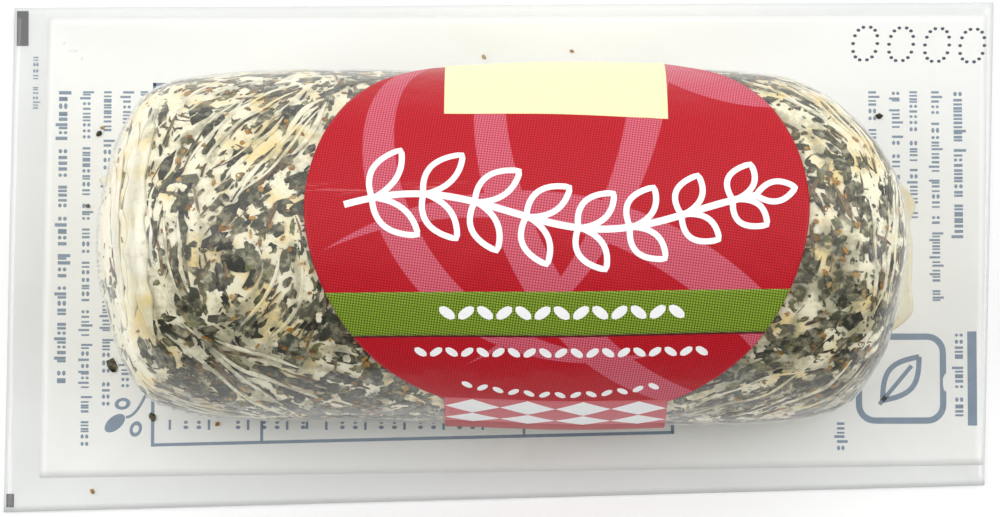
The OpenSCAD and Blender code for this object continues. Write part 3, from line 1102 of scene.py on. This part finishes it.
def textBlocks(column, rng):
    # small plain bars and dots in groups, with now and then a taller or a lower one
    x, start, end, size, bold = column
    parts = []
    y = start
    left = rng.integers(2, 9)
    while y > end:
        length = rng.uniform(0.4, 0.8) * size / 1.35
        tall = rng.choice([0.0, 0.0, 0.0, 0.3, -0.25]) * size
        low, high = x - size * 0.34 + min(tall, 0), x + size * 0.34 + max(tall, 0)
        line = 0.26 * bold / 0.7 * size / 1.35
        kind = rng.integers(0, 5)
        if kind < 2:  # two bars side by side
            parts.append(bar(low, y - line, high, y, 3, 2))
            y1 = y - length
            parts.append(bar(x - size * 0.34, y1 - line * 0.2, x + size * 0.34, y1 + line * 0.6, 3, 2))
        elif kind == 2:  # one bar
            parts.append(bar(low, y - line * 1.1, high, y, 3, 2))
            length = line * 1.2
        else:  # two dots
            for side in (-1, 1):
                parts.append(disc(x + side * size * 0.2, y - length / 2, size * 0.15, length * 0.42, sides=8))
        y -= length + 0.24
        left -= 1
        if left == 0:
            y -= 0.75
            left = rng.integers(2, 9)
    return parts


printRng = np.random.default_rng(52)
printed = []
for column in textColumns:
    printed += textBlocks(column, printRng)
# the frame under the log, with short marks inside its near edge
printed += [
    bar(-41.6, -22.7, -41.2, 20.8, 2, 40), bar(-41.6, 20.4, 24.0, 20.8, 60, 2),
    stroke([(-41.4 + 62 * w, -22.5 + 1.5 * w) for w in np.linspace(0, 1, 60)], 0.38),
    bar(20.2, -21.1, 20.6, -14.0, 2, 10),
    bar(-28.6, -22.0, -28.25, -18.8), bar(2.6, -21.3, 2.9, -18.8), bar(-23.2, -20.6, -22.9, -18.8),
]
for k in range(26):
    x = -39.5 + 1.55 * k + (0.5 if k % 3 else 0)
    if k % 3 == 0:
        printed.append(bar(x, -20.7, x + 0.3, -19.5, 2, 3))
    elif k % 7 != 4:
        printed += [disc(x, -20.4, 0.3, 0.22, sides=10), disc(x, -19.8, 0.24, 0.2, sides=10)]
# a rounded square with a leaf in it, in the place of a badge
badge = {
    "middle": (47.6, -14.6),
    "half": 5.0,
    "corner": 1.9,
    "line": 0.75,
    "leaf": (3.4, 1.7),  # half its length and half its width
    "leafLine": 0.62,
    "veinLine": 0.5,
    "lean": 50,
}
badgeMiddle = np.array(badge["middle"])
loop = []
for quarter, signs in enumerate(((1, 1), (-1, 1), (-1, -1), (1, -1))):
    cornerMiddle = badgeMiddle + (badge["half"] - badge["corner"]) * np.array(signs)
    for w in np.linspace(0, 1, 9):
        a = (quarter + w) * math.pi / 2
        loop.append(cornerMiddle + badge["corner"] * np.array([math.cos(a), math.sin(a)]))
loop.append(loop[0])
printed.append(stroke(loop, badge["line"]))
leafSide = [
    (badge["leaf"][0] * (2 * w - 1), badge["leaf"][1] * math.sin(math.pi * w)) for w in np.linspace(0, 1, 17)
]
lean = math.radians(badge["lean"])
for sign in (1, -1):
    side = [np.add(badgeMiddle, turned(a, sign * b, lean)) for a, b in leafSide]
    printed.append(stroke(side, badge["leafLine"]))
vein = [np.add(badgeMiddle, turned(a, 0, lean)) for a in np.linspace(-4.0, 2.0, 9)]
printed.append(stroke(vein, badge["veinLine"]))
printed.append(bar(55.5, -20.2, 56.6, -9.0, 3, 12))
# a small sprig by the frame's corner
printed += [
    disc(-45.9, -19.9, 1.45, 0.8, math.radians(40)), disc(-43.4, -20.6, 0.95, 0.72, math.radians(70), 0.5),
    disc(-45.0, -17.6, 0.95, 0.7, math.radians(10), 0.5),
    stroke([(-44.6 + 2.4 * w, -19.2 + 2.8 * w * w) for w in np.linspace(0, 1, 10)], 0.32),
]

# a date stamp in dots, with plain noughts, and the dark cutting marks in the corners
stampDots = []
for k, x in enumerate((43.6, 47.9, 52.2, 56.4)):
    for w in np.linspace(0, 2 * math.pi, 14, endpoint=False):
        dx = 1.45 * np.sign(math.cos(w)) * abs(math.cos(w)) ** 0.8
        dy = 2.0 * np.sign(math.sin(w)) * abs(math.sin(w)) ** 0.9
        stampDots.append(disc(x + dx + 0.12 * dy, 26.4 + dy - 0.02 * x, 0.24, 0.2, sides=8))
cuttingMarks = [bar(-57.9, 25.2, -56.5, 29.4, 4, 8), bar(-58.7, -29.9, -57.8, -28.3, 4, 4)]
for name, marks, inkName, colourName, roughness in (
    ("blue_print", printed, "blue flexographic ink", "blue", 0.4),
    ("date_stamp", stampDots, "navy jet ink", "navy", 0.5),
    ("cutting_marks", cuttingMarks, "grey flexographic ink", "grey", 0.5),
):
    points, faces = joined(marks)
    ink = plainInk(inkName, liddingColours[colourName], roughness)
    meshObject(name, points, faces, ink, smooth=False)
print("lidding film and print made,", len(printed), "marks")


# The label

# Polypropylene film, offset printed and varnished. The pale sweeps are a screen of fine dots over
# the red, and the varnish mirrors broad soft lights. A real screen has its dots about 0.2 mm
# apart, too fine to show, so they are drawn coarser.
labelFinish = {
    "red": "c61e2b",
    "pink": "e27f95",
    "green": "90ae36",
    "greenDark": "2f3d12",
    "yellow": "fff8bf",
    "white": "ffffff",
    "brown": "5c1218",
    "roseGround": "d4767c",
    "scuffed": "e88a90",
    "dotPitch": 0.31,
    "screenTurn": 8,  # degrees
    "scuffLine": 4.7,  # mm up the label
    "scuffShare": 0.55,
}
varnish = {
    "Roughness": 0.42,
    "IOR": 1.45,
    "Specular IOR Level": 0.2,
    "Coat Weight": 0.1,
    "Coat Roughness": 0.14,
}
# Sweeps: tapering blades, each inside one circle and outside another, given as middle in x and in
# mm up the label, and radius
sweeps = [
    {"inside": (10.0, 10.0, 25.5), "outside": (14.5, 12.0, 26.5)},
    {"inside": (38.0, 14.0, 41.0), "outside": (43.5, 17.0, 43.0)},
    {"inside": (-24.0, 22.0, 43.0), "outside": (-30.0, 20.0, 44.5)},
    {"inside": (2.0, -34.0, 38.5), "outside": (-3.0, -38.0, 39.5)},
    {"inside": (31.0, 33.0, 17.5), "outside": (60.0, 52.0, 21.0)},
]


def fromDot(tree, sheet):
    # how far a place is from the middle of its dot in the screen, in dot pitches
    grid = addNode(tree, "Mapping", None, {
        "Vector": sheet,
        "Rotation": (0, 0, math.radians(labelFinish["screenTurn"])),
        "Scale": (1 / labelFinish["dotPitch"],) * 3,
    })
    cell = addNode(tree, "VectorMath", {"operation": "FRACTION"}, {0: grid.outputs[0]})
    return addNode(tree, "VectorMath", {"operation": "DISTANCE"}, {
        0: cell.outputs[0], 1: (0.5, 0.5, 0),
    }).outputs["Value"]


def labelPrint(name):
    material, tree = newTree(name)
    sheet = addNode(tree, "Attribute", {"attribute_name": "sheet"}).outputs["Vector"]
    pale = 0.0
    for sweep in sweeps:
        blade = 1.0
        for key, side in (("inside", -0.1), ("outside", 0.1)):
            x, y, radius = sweep[key]
            away = addNode(tree, "VectorMath", {"operation": "DISTANCE"}, {0: sheet, 1: (x, y, 0)})
            edge = addNode(tree, "MapRange", softStep, {
                "Value": away.outputs["Value"], "From Min": radius - side, "From Max": radius + side,
            })
            both = addNode(tree, "Math", {"operation": "MULTIPLY"}, {0: blade, 1: edge.outputs[0]})
            blade = both.outputs[0]
        pale = addNode(tree, "Math", {"operation": "MAXIMUM"}, {0: pale, 1: blade}).outputs[0]
    fromMiddle = fromDot(tree, sheet)
    dots = addNode(tree, "MapRange", softStep, {
        "Value": fromMiddle, "From Min": 0.2, "From Max": 0.6, "To Min": 0.72, "To Max": 0.16,
    })
    tint = addNode(tree, "Math", {"operation": "MULTIPLY"}, {0: pale, 1: dots.outputs[0]})
    redDots = addNode(tree, "MapRange", None, {
        "Value": fromMiddle, "From Min": 0.12, "From Max": 0.6, "To Min": 1.2, "To Max": 0.55,
    })
    red = addNode(tree, "HueSaturation", None, {
        "Color": linear(labelFinish["red"]), "Value": redDots.outputs[0],
    })
    colour = addNode(tree, "Mix", {"data_type": "RGBA"}, {
        0: tint.outputs[0], 6: red.outputs[0], 7: linear(labelFinish["pink"]),
    }).outputs[2]
    # a rubbed streak near the left edge, where the varnish has scuffed
    streak = addNode(tree, "Mapping", None, {"Vector": sheet, "Scale": (0.16, 2.4, 1.0)})
    rubbed = addNode(tree, "TexNoise", None, {
        "Vector": streak.outputs[0], "Scale": 1.0, "Detail": 5.0, "Roughness": 0.7,
    })
    place = addNode(tree, "SeparateXYZ", None, {0: sheet})
    offLine = addNode(tree, "Math", {"operation": "SUBTRACT"}, {
        0: place.outputs["Y"], 1: labelFinish["scuffLine"],
    })
    offLine = addNode(tree, "Math", {"operation": "ABSOLUTE"}, {0: offLine.outputs[0]})
    scuff = labelFinish["scuffShare"]
    for value, none, full in (
        (rubbed.outputs["Fac"], 0.5, 0.7), (offLine.outputs[0], 1.3, 0.1), (place.outputs["X"], 4.0, -8.0),
    ):
        share = addNode(tree, "MapRange", softStep, {
            "Value": value, "From Min": none, "From Max": full,
        })
        both = addNode(tree, "Math", {"operation": "MULTIPLY"}, {0: scuff, 1: share.outputs[0]})
        scuff = both.outputs[0]
    colour = addNode(tree, "Mix", {"data_type": "RGBA"}, {
        0: scuff, 6: colour, 7: linear(labelFinish["scuffed"]),
    }).outputs[2]
    waves = addNode(tree, "TexNoise", None, {"Vector": sheet, "Scale": 0.16, "Detail": 2.0})
    bump = addNode(tree, "Bump", None, {
        "Strength": 0.3, "Distance": 0.0012, "Height": waves.outputs["Fac"],
    })
    shader = addNode(tree, "BsdfPrincipled", None, {
        "Base Color": colour, "Normal": bump.outputs[0], "Coat Normal": bump.outputs[0], "Coat IOR": 1.5,
        **varnish,
    })
    addNode(tree, "OutputMaterial", None, {"Surface": shader.outputs[0]})
    return material


# Offset inks under the same varnish, screened like the red or, with contrast 0, printed solid
def screenPrint(name, light, dark=None, contrast=0.0):
    material, tree = newTree(name)
    sheet = addNode(tree, "Attribute", {"attribute_name": "sheet"}).outputs["Vector"]
    gaps = addNode(tree, "MapRange", softStep, {
        "Value": fromDot(tree, sheet), "From Min": 0.22, "From Max": 0.56, "To Max": contrast,
    })
    mottle = addNode(tree, "TexNoise", None, {"Vector": sheet, "Scale": 1.2, "Detail": 3.0})
    value = addNode(tree, "MapRange", None, {
        "Value": mottle.outputs["Fac"], "From Min": 0.3, "From Max": 0.7, "To Min": 0.97, "To Max": 1.03,
    })
    ink = addNode(tree, "HueSaturation", None, {
        "Color": linear(labelFinish[light]), "Value": value.outputs[0],
    })
    colour = addNode(tree, "Mix", {"data_type": "RGBA"}, {
        0: gaps.outputs[0], 6: ink.outputs[0], 7: linear(labelFinish[dark or light]),
    }).outputs[2]
    shader = addNode(tree, "BsdfPrincipled", None, {"Base Color": colour, **varnish})
    addNode(tree, "OutputMaterial", None, {"Surface": shader.outputs[0]})
    return material


def sheetOf(x, turn):
    return np.stack(np.broadcast_arrays(x, turn * turnMm, 0.0 * x), -1)


rows, columns = 190, 113
turn = np.linspace(-labelForm["tabEndTurn"], labelForm["tabEndTurn"], rows)[:, None]
x = labelForm["middleX"] + np.linspace(-1, 1, columns)[None, :] * labelHalf(turn)
turn = turn + 0 * x
s = stepAt(x, turn)
under = onLog(s, turn, np.full(x.shape, labelForm["level"])).reshape(-1, 3)
top = onLog(s, turn, np.full(x.shape, labelForm["level"] + labelForm["thickness"])).reshape(-1, 3)
points, faces = slab(top, under, rows, columns)
sheetValues = np.tile(sheetOf(x, turn).reshape(-1, 3), (2, 1))
label = meshObject(
    "label_sheet", points, faces, labelPrint("polypropylene label, printed and varnished"),
    values={"sheet": sheetValues},
)
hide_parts("label")


# Levels of the print above the label, apart so that no two fields share one where they cross
printLift = {"field": 0.012, "edge": 0.013, "panel": 0.016, "line": 0.020, "row": 0.021, "mark": 0.022}
printLift.update({"step": 0.0012, "tip": 0.043, "depth": 0.03})


def printGrid(x, turn, lift):
    # a field of print on the label from a grid of places
    top = onLabel(x, turn, lift).reshape(-1, 3)
    under = onLabel(x, turn, lift - printLift["depth"]).reshape(-1, 3)
    return *slab(top, under, *x.shape), np.tile(sheetOf(x, turn).reshape(-1, 3), (2, 1))


def printField(name, grids, material, smooth=True):
    points, faces = joined([grid[:2] for grid in grids])
    sheet = np.concatenate([grid[2] for grid in grids])
    meshObject(name, points, faces, material, smooth=smooth, values={"sheet": sheet})


def acrossLabel(lowLine, highLine, rows, columns, inset=0.0):
    # a band over the label's whole width; each line gives its turn at the left and at the right
    u = np.linspace(0, 1, columns)[None, :]
    v = np.linspace(0, 1, rows)[:, None]
    turn = mixOf(mixOf(lowLine[0], lowLine[1], u), mixOf(highLine[0], highLine[1], u), v)
    for settle in range(3):
        half = labelHalf(turn) - inset
        x = labelForm["middleX"] + (2 * u - 1) * half
        share = (x - labelForm["middleX"]) / labelForm["length"] + 0.5
        turn = mixOf(mixOf(lowLine[0], lowLine[1], share), mixOf(highLine[0], highLine[1], share), v)
    return x, turn


def acrossTab(lowTurn, lowRise, highTurn, rows, columns):
    # a field as wide as the tabs, whose lower line rises by lowRise towards the right
    u = np.linspace(0, 1, columns)[None, :]
    v = np.linspace(0, 1, rows)[:, None]
    return mixOf(*tabSides, u) + 0 * v, mixOf(lowTurn + lowRise * u, highTurn + 0 * u, v)


tabSides = (-6.38, 18.78)
band = printGrid(*acrossLabel((-34.5, -32.0), (-19.8, -18.2), 16, 120, 0.02), printLift["field"])
printField("label_band", [band], screenPrint("green offset ink", "green", "greenDark", 0.85))
edgeLine = printGrid(*acrossLabel((-35.1, -32.6), (-34.5, -32.0), 3, 120, 0.02), printLift["edge"])
printField("label_band_edge", [edgeLine], screenPrint("brown offset ink", "brown"))
panel = printGrid(*acrossTab(41.0, -3.2, 111.6, 76, 48), printLift["panel"])
printField("label_panel", [panel], screenPrint("yellow offset ink", "yellow"))
# the checked foot: a rose field with two rows of white diamonds
foot = printGrid(*acrossTab(-78.5, 0.0, -60.2, 18, 40), printLift["field"])
printField("label_foot", [foot], screenPrint("rose offset ink", "roseGround", "red", 0.25))


def diamond(middleX, middleTurn, halfX, halfTurn):
    w = np.linspace(-1, 1, 9)
    across = np.linspace(-1, 1, 7)[None, :]
    x = middleX + w[:, None] * halfX + 0 * across
    turn = middleTurn + across * np.maximum(halfTurn * (1 - np.abs(w[:, None])), 0.02)
    points, faces, sheet = printGrid(x, turn, printLift["mark"])
    return points, faces[:, ::-1], sheet


diamondForm = {"rows": (-65.2, -74.6), "first": -3.22, "pitch": 6.28, "halfLength": 3.1, "halfTurn": 4.5}
diamonds = []
for rowTurn in diamondForm["rows"]:
    for k in range(4):
        x = diamondForm["first"] + diamondForm["pitch"] * k
        diamonds.append(diamond(x, rowTurn, diamondForm["halfLength"], diamondForm["halfTurn"]))


def ribbon(path, width, lift):
    # a printed line on the label through places in x and mm up the label
    side = halfLine(path, width)
    place = np.stack([path - side, path, path + side], 1)
    return printGrid(place[..., 0], place[..., 1] / turnMm, lift)


def petal(x, y, length, width, lean, bend=0.0, count=22):
    # the outline of a leaf, from its foot at x, y out to its tip and back
    w = np.linspace(0, 1, count)
    sides = []
    for sign in (1, -1):
        outward = sign * width / 2 * np.sin(math.pi * w) ** 0.8 + bend * length * w * w
        a, b = turned(w * length, outward, lean)
        sides.append(np.stack([x + a, y + b], -1))
    return np.concatenate([sides[0], sides[1][::-1][1:]])


# In the place of the words: a sprig in white line
sprigForm = {
    "start": -17.5,
    "end": 28.5,
    "height": 2.2,
    "line": 0.8,
    "leaf": 6.4,
    "leafWidth": 2.9,
    "leafTurn": 58,
    "bend": -0.12,
    "pairs": 8,
    "tip": (4.4, 2.3),  # length and width of the last leaf
}
leafLine = sprigForm["line"] * 0.85


def sprigStem(w):
    x = mixOf(sprigForm["start"], sprigForm["end"], w)
    y = sprigForm["height"] + 2.1 * np.sin(2.2 * math.pi * w + 0.4)
    return np.stack([x, y], -1)


whiteMarks = []
w = np.linspace(0, 1, 140)
whiteMarks.append(ribbon(sprigStem(w), sprigForm["line"], printLift["line"]))
for k in range(sprigForm["pairs"]):
    at = (k + 0.55) / sprigForm["pairs"]
    foot = sprigStem(np.array([at]))[0]
    ahead = sprigStem(np.array([at + 0.01]))[0] - foot
    stemLean = math.atan2(ahead[1], ahead[0])
    size = sprigForm["leaf"] * (1.05 - 0.35 * at)
    for sign in (1, -1):
        lean = stemLean + sign * math.radians(sprigForm["leafTurn"])
        loop = petal(*foot, size, sprigForm["leafWidth"], lean, sprigForm["bend"] * sign)
        lift = printLift["row"] + printLift["step"] * len(whiteMarks)
        whiteMarks.append(ribbon(loop, leafLine, lift))
loop = petal(*sprigStem(np.array([1.0]))[0], *sprigForm["tip"], 0.2)
whiteMarks.append(ribbon(loop, leafLine, printLift["tip"]))


def seedRow(places, size, turnOf, lift):
    # a row of small leaf shapes, each a filled oval
    marks = []
    for k, x in enumerate(places):
        lean = math.radians(38 if k % 2 else -38)
        a = np.linspace(-1, 1, 9)
        half = np.sqrt(np.maximum(1 - a * a, 0.0)) * size * 0.28
        across = np.linspace(-1, 1, 4)[None, :]
        px, py = turned(a[:, None] * size * 0.55 + 0 * across, half[:, None] * across, lean)
        points, faces, sheet = printGrid(x + px, turnOf(x) + py / turnMm, lift)
        marks.append((points, faces[:, ::-1], sheet))
    return marks


bandMarks = seedRow(np.linspace(-6.0, 19.6, 13), 2.0, lambda x: -26.0 + 0.03 * x, printLift["mark"])
rowLift = printLift["row"]
whiteMarks += seedRow(np.linspace(-9.0, 22.5, 19), 1.55, lambda x: -39.6 + 0.03 * x, rowLift)
whiteMarks += seedRow(np.linspace(-3.8, 17.2, 13), 1.35, lambda x: -57.0 + 0.035 * (x - 6.7) ** 2, rowLift)
printField(
    "label_white_print", diamonds + whiteMarks + bandMarks,
    screenPrint("white offset ink", "white"), smooth=False,
)
print("label made,", len(whiteMarks), "white marks")


# Loose bits shut in the border

crumbForm = {
    # x, y and half the length
    "dark": [(-48.0, 14.7, 0.5), (-46.3, -13.0, 0.9), (-41.4, -19.2, 0.55), (45.2, 16.8, 0.5),
             (-49.3, 6.0, 0.3)],
    "brown": [(-33.7, -20.0, 0.4), (-48.5, -28.0, 0.35), (-2.0, 23.9, 0.3), (-47.6, 15.4, 0.3),
              (8.5, 24.6, 0.25)],
    "cream": [(45.6, 9.5, 1.2), (46.4, 3.6, 1.4), (46.0, -2.5, 1.0), (-47.0, 9.0, 1.0), (44.0, -7.0, 0.9)],
}


def crumb(x, y, size, thick, seed):
    rng = np.random.default_rng(seed)
    rings, sides = 5, 9
    points = []
    for i in range(1, rings):
        el = math.pi * i / rings
        for j in range(sides):
            az = 2 * math.pi * j / sides
            r = size * rng.uniform(0.75, 1.2)
            out = math.sin(el) * r
            points.append((math.cos(az) * out, 0.7 * math.sin(az) * out, math.cos(el) * thick))
    points += [(0, 0, thick), (0, 0, -thick)]
    points = np.array(points)
    a, b = turned(points[:, 0], points[:, 1], rng.uniform(0, math.pi))
    points[:, 0] = x + a
    points[:, 1] = y + b
    points[:, 2] += lidTop + thick + borderLift(points[:, 0], points[:, 1])
    k = np.arange(sides)
    j = (k + 1) % sides
    quads = gridFaces(rings - 1, sides, closed=True)
    topPoint, lowPoint = (rings - 1) * sides, (rings - 1) * sides + 1
    faces = np.concatenate([
        quads[:, [0, 3, 2]], quads[:, [0, 2, 1]],
        np.stack([k, j, np.full(sides, topPoint)], -1),
        np.stack([j, k, np.full(sides, lowPoint)], -1) + [(rings - 2) * sides, (rings - 2) * sides, 0],
    ])
    return points, faces


for key, thick, finish in (
    ("dark", 0.16, herbMaterial("dried herb crumbs, loose", herbKinds["herb_leaf_dark"])),
    ("brown", 0.14, herbMaterial("dried spice crumbs, loose", herbKinds["herb_speck_ochre"])),
    ("cream", 0.10, freshCheese("fresh goat cheese, smeared", 0.6)),
):
    parts = [crumb(x, y, size, thick, 70 + k) for k, (x, y, size) in enumerate(crumbForm[key])]
    points, faces = joined(parts)
    meshObject("loose_" + key, points, faces, finish,
               values={"tone": np.full(len(points), 0.4), "stainAndShade": np.zeros(len(points)), "leaf": points})


def logEdge(y):
    # how far the log reaches to the right at its widest level
    low, high = halved(
        lambda r: shapeSize(r, y / halfWidth, 0 * y) < 1, np.zeros_like(y), np.full_like(y, 2.0), 24,
    )
    return low * halfLength


# Cheese pressed out under the film beyond the right end: how far it runs along Y, how far out, and
# how far in under the log
smearForm = {"from": -11.0, "to": 15.0, "out": 3.7, "in": 3.0, "thick": 0.12, "size": 3.2}
y = np.linspace(smearForm["from"], smearForm["to"], 150)[:, None]
u = np.linspace(0, 1, 14)[None, :]
edge = logEdge(y)
ends = smoothStep((y - smearForm["from"]) / 3) * smoothStep((smearForm["to"] - y) / 3)
place = np.stack([edge, y, 0 * y], -1)
out = smearForm["out"] * ends * np.clip(0.75 + 0.4 * noiseAt(place, smearForm["size"], 81), 0.3, 1.1)
x = edge - smearForm["in"] + (smearForm["in"] + out) * u
thick = smearForm["thick"] * (1 - u ** 3) + 0.01
top = onBorder(x, y + 0 * x, lidTop + 0.01 + thick).reshape(-1, 3)
under = onBorder(x, y + 0 * x, lidTop + 0.005).reshape(-1, 3)
points, faces = slab(top, under, *x.shape)
meshObject(
    "cheese_smear", points, faces, freshCheese("fresh goat cheese, pressed out thin", 0.6),
    values={"stainAndShade": np.full(len(points), -0.2)},
)
print("loose bits made")


# Floor, light and camera

stageForm = {
    "floor": "fafafa",
    "floorLevel": -0.00004,  # in metres, as all lengths from here on
    "floorGlow": 0.12,
    "zenith": 0.93,
    "horizon": 0.84,
    "nearShare": 0.1,
    "key": 3.8,
    "side": 5.3,
}
floorMesh = bpy.data.meshes.new("floor")
floorCorners = [(x, y, stageForm["floorLevel"]) for x, y in ((-3, -3), (3, -3), (3, 3), (-3, 3))]
floorMesh.from_pydata(floorCorners, [], [(0, 1, 2, 3)])
floor = bpy.data.objects.new("floor", floorMesh)
bpy.context.collection.objects.link(floor)
# Uncoated white paper, rolled out flat: dead matt and even, with a little light of its own, so that
# it stays white where no lamp reaches
material, tree = newTree("white paper sweep")
paper = addNode(tree, "BsdfPrincipled", None, {
    "Base Color": linear(stageForm["floor"]),
    "Roughness": 0.9,
    "Emission Color": (1, 1, 1, 1),
    "Emission Strength": stageForm["floorGlow"],
})
addNode(tree, "OutputMaterial", None, {"Surface": paper.outputs[0]})
floorMesh.materials.append(material)

world = bpy.data.worlds.new("studio")
bpy.context.scene.world = world
world.use_nodes = True
tree = world.node_tree
tree.nodes.clear()
# a white room, a little brighter overhead
wayUp = addNode(tree, "SeparateXYZ", None, {
    0: addNode(tree, "TexCoord").outputs["Generated"],
})
strength = addNode(tree, "MapRange", softStep, {
    "Value": wayUp.outputs["Z"], "From Min": 0.55, "From Max": 0.95,
    "To Min": stageForm["horizon"], "To Max": stageForm["zenith"],
})
# and dark on its near side
nearShare = addNode(tree, "MapRange", softStep, {
    "Value": wayUp.outputs["Y"], "From Min": -0.7, "From Max": 0.2, "To Min": stageForm["nearShare"],
})
strength = addNode(tree, "Math", {"operation": "MULTIPLY"}, {
    0: strength.outputs[0], 1: nearShare.outputs[0],
})
room = addNode(tree, "Background", None, {"Color": (1, 1, 1, 1), "Strength": strength.outputs[0]})
addNode(tree, "OutputWorld", None, {"Surface": room.outputs[0]})


def areaLight(name, place, aim, size, power):
    light = bpy.data.lights.new(name, "AREA")
    light.shape = "RECTANGLE"
    light.size, light.size_y = size
    light.energy = power
    lamp = bpy.data.objects.new(name, light)
    lamp.location = place
    way = np.array(aim, float) - np.array(place, float)
    flatWay = math.hypot(way[0], way[1])
    lamp.rotation_euler = (math.atan2(flatWay, -way[2]), 0, math.atan2(-way[0], way[1]))
    bpy.context.collection.objects.link(lamp)


areaLight("softbox_far", (-0.1, 0.60, 1.12), (0, 0, 0), (2.4, 1.3), stageForm["key"])
areaLight("softbox_left", (-1.0, -0.02, 0.88), (0, 0, 0), (1.0, 0.8), stageForm["side"])
areaLight("softbox_right", (1.0, -0.02, 0.88), (0, 0, 0), (1.0, 0.8), stageForm["side"])

cameraForm = {"elevation": 85.5, "distance": 0.550, "aim": (-0.0001, -0.00025, 0.0), "lens": 166.0}
camera = bpy.data.cameras.new("camera")
camera.lens = cameraForm["lens"]
camera.sensor_width = 36.0
camera.clip_start = 0.01
camera.clip_end = 10.0
cameraObject = bpy.data.objects.new("camera", camera)
bpy.context.collection.objects.link(cameraObject)
elevation = math.radians(cameraForm["elevation"])
cameraObject.location = (
    cameraForm["aim"][0],
    cameraForm["aim"][1] - cameraForm["distance"] * math.cos(elevation),
    cameraForm["aim"][2] + cameraForm["distance"] * math.sin(elevation),
)
cameraObject.rotation_euler = (math.pi / 2 - elevation, 0, 0)
bpy.context.scene.camera = cameraObject
bpy.context.scene.view_settings.view_transform = "Standard"
print("stage made")
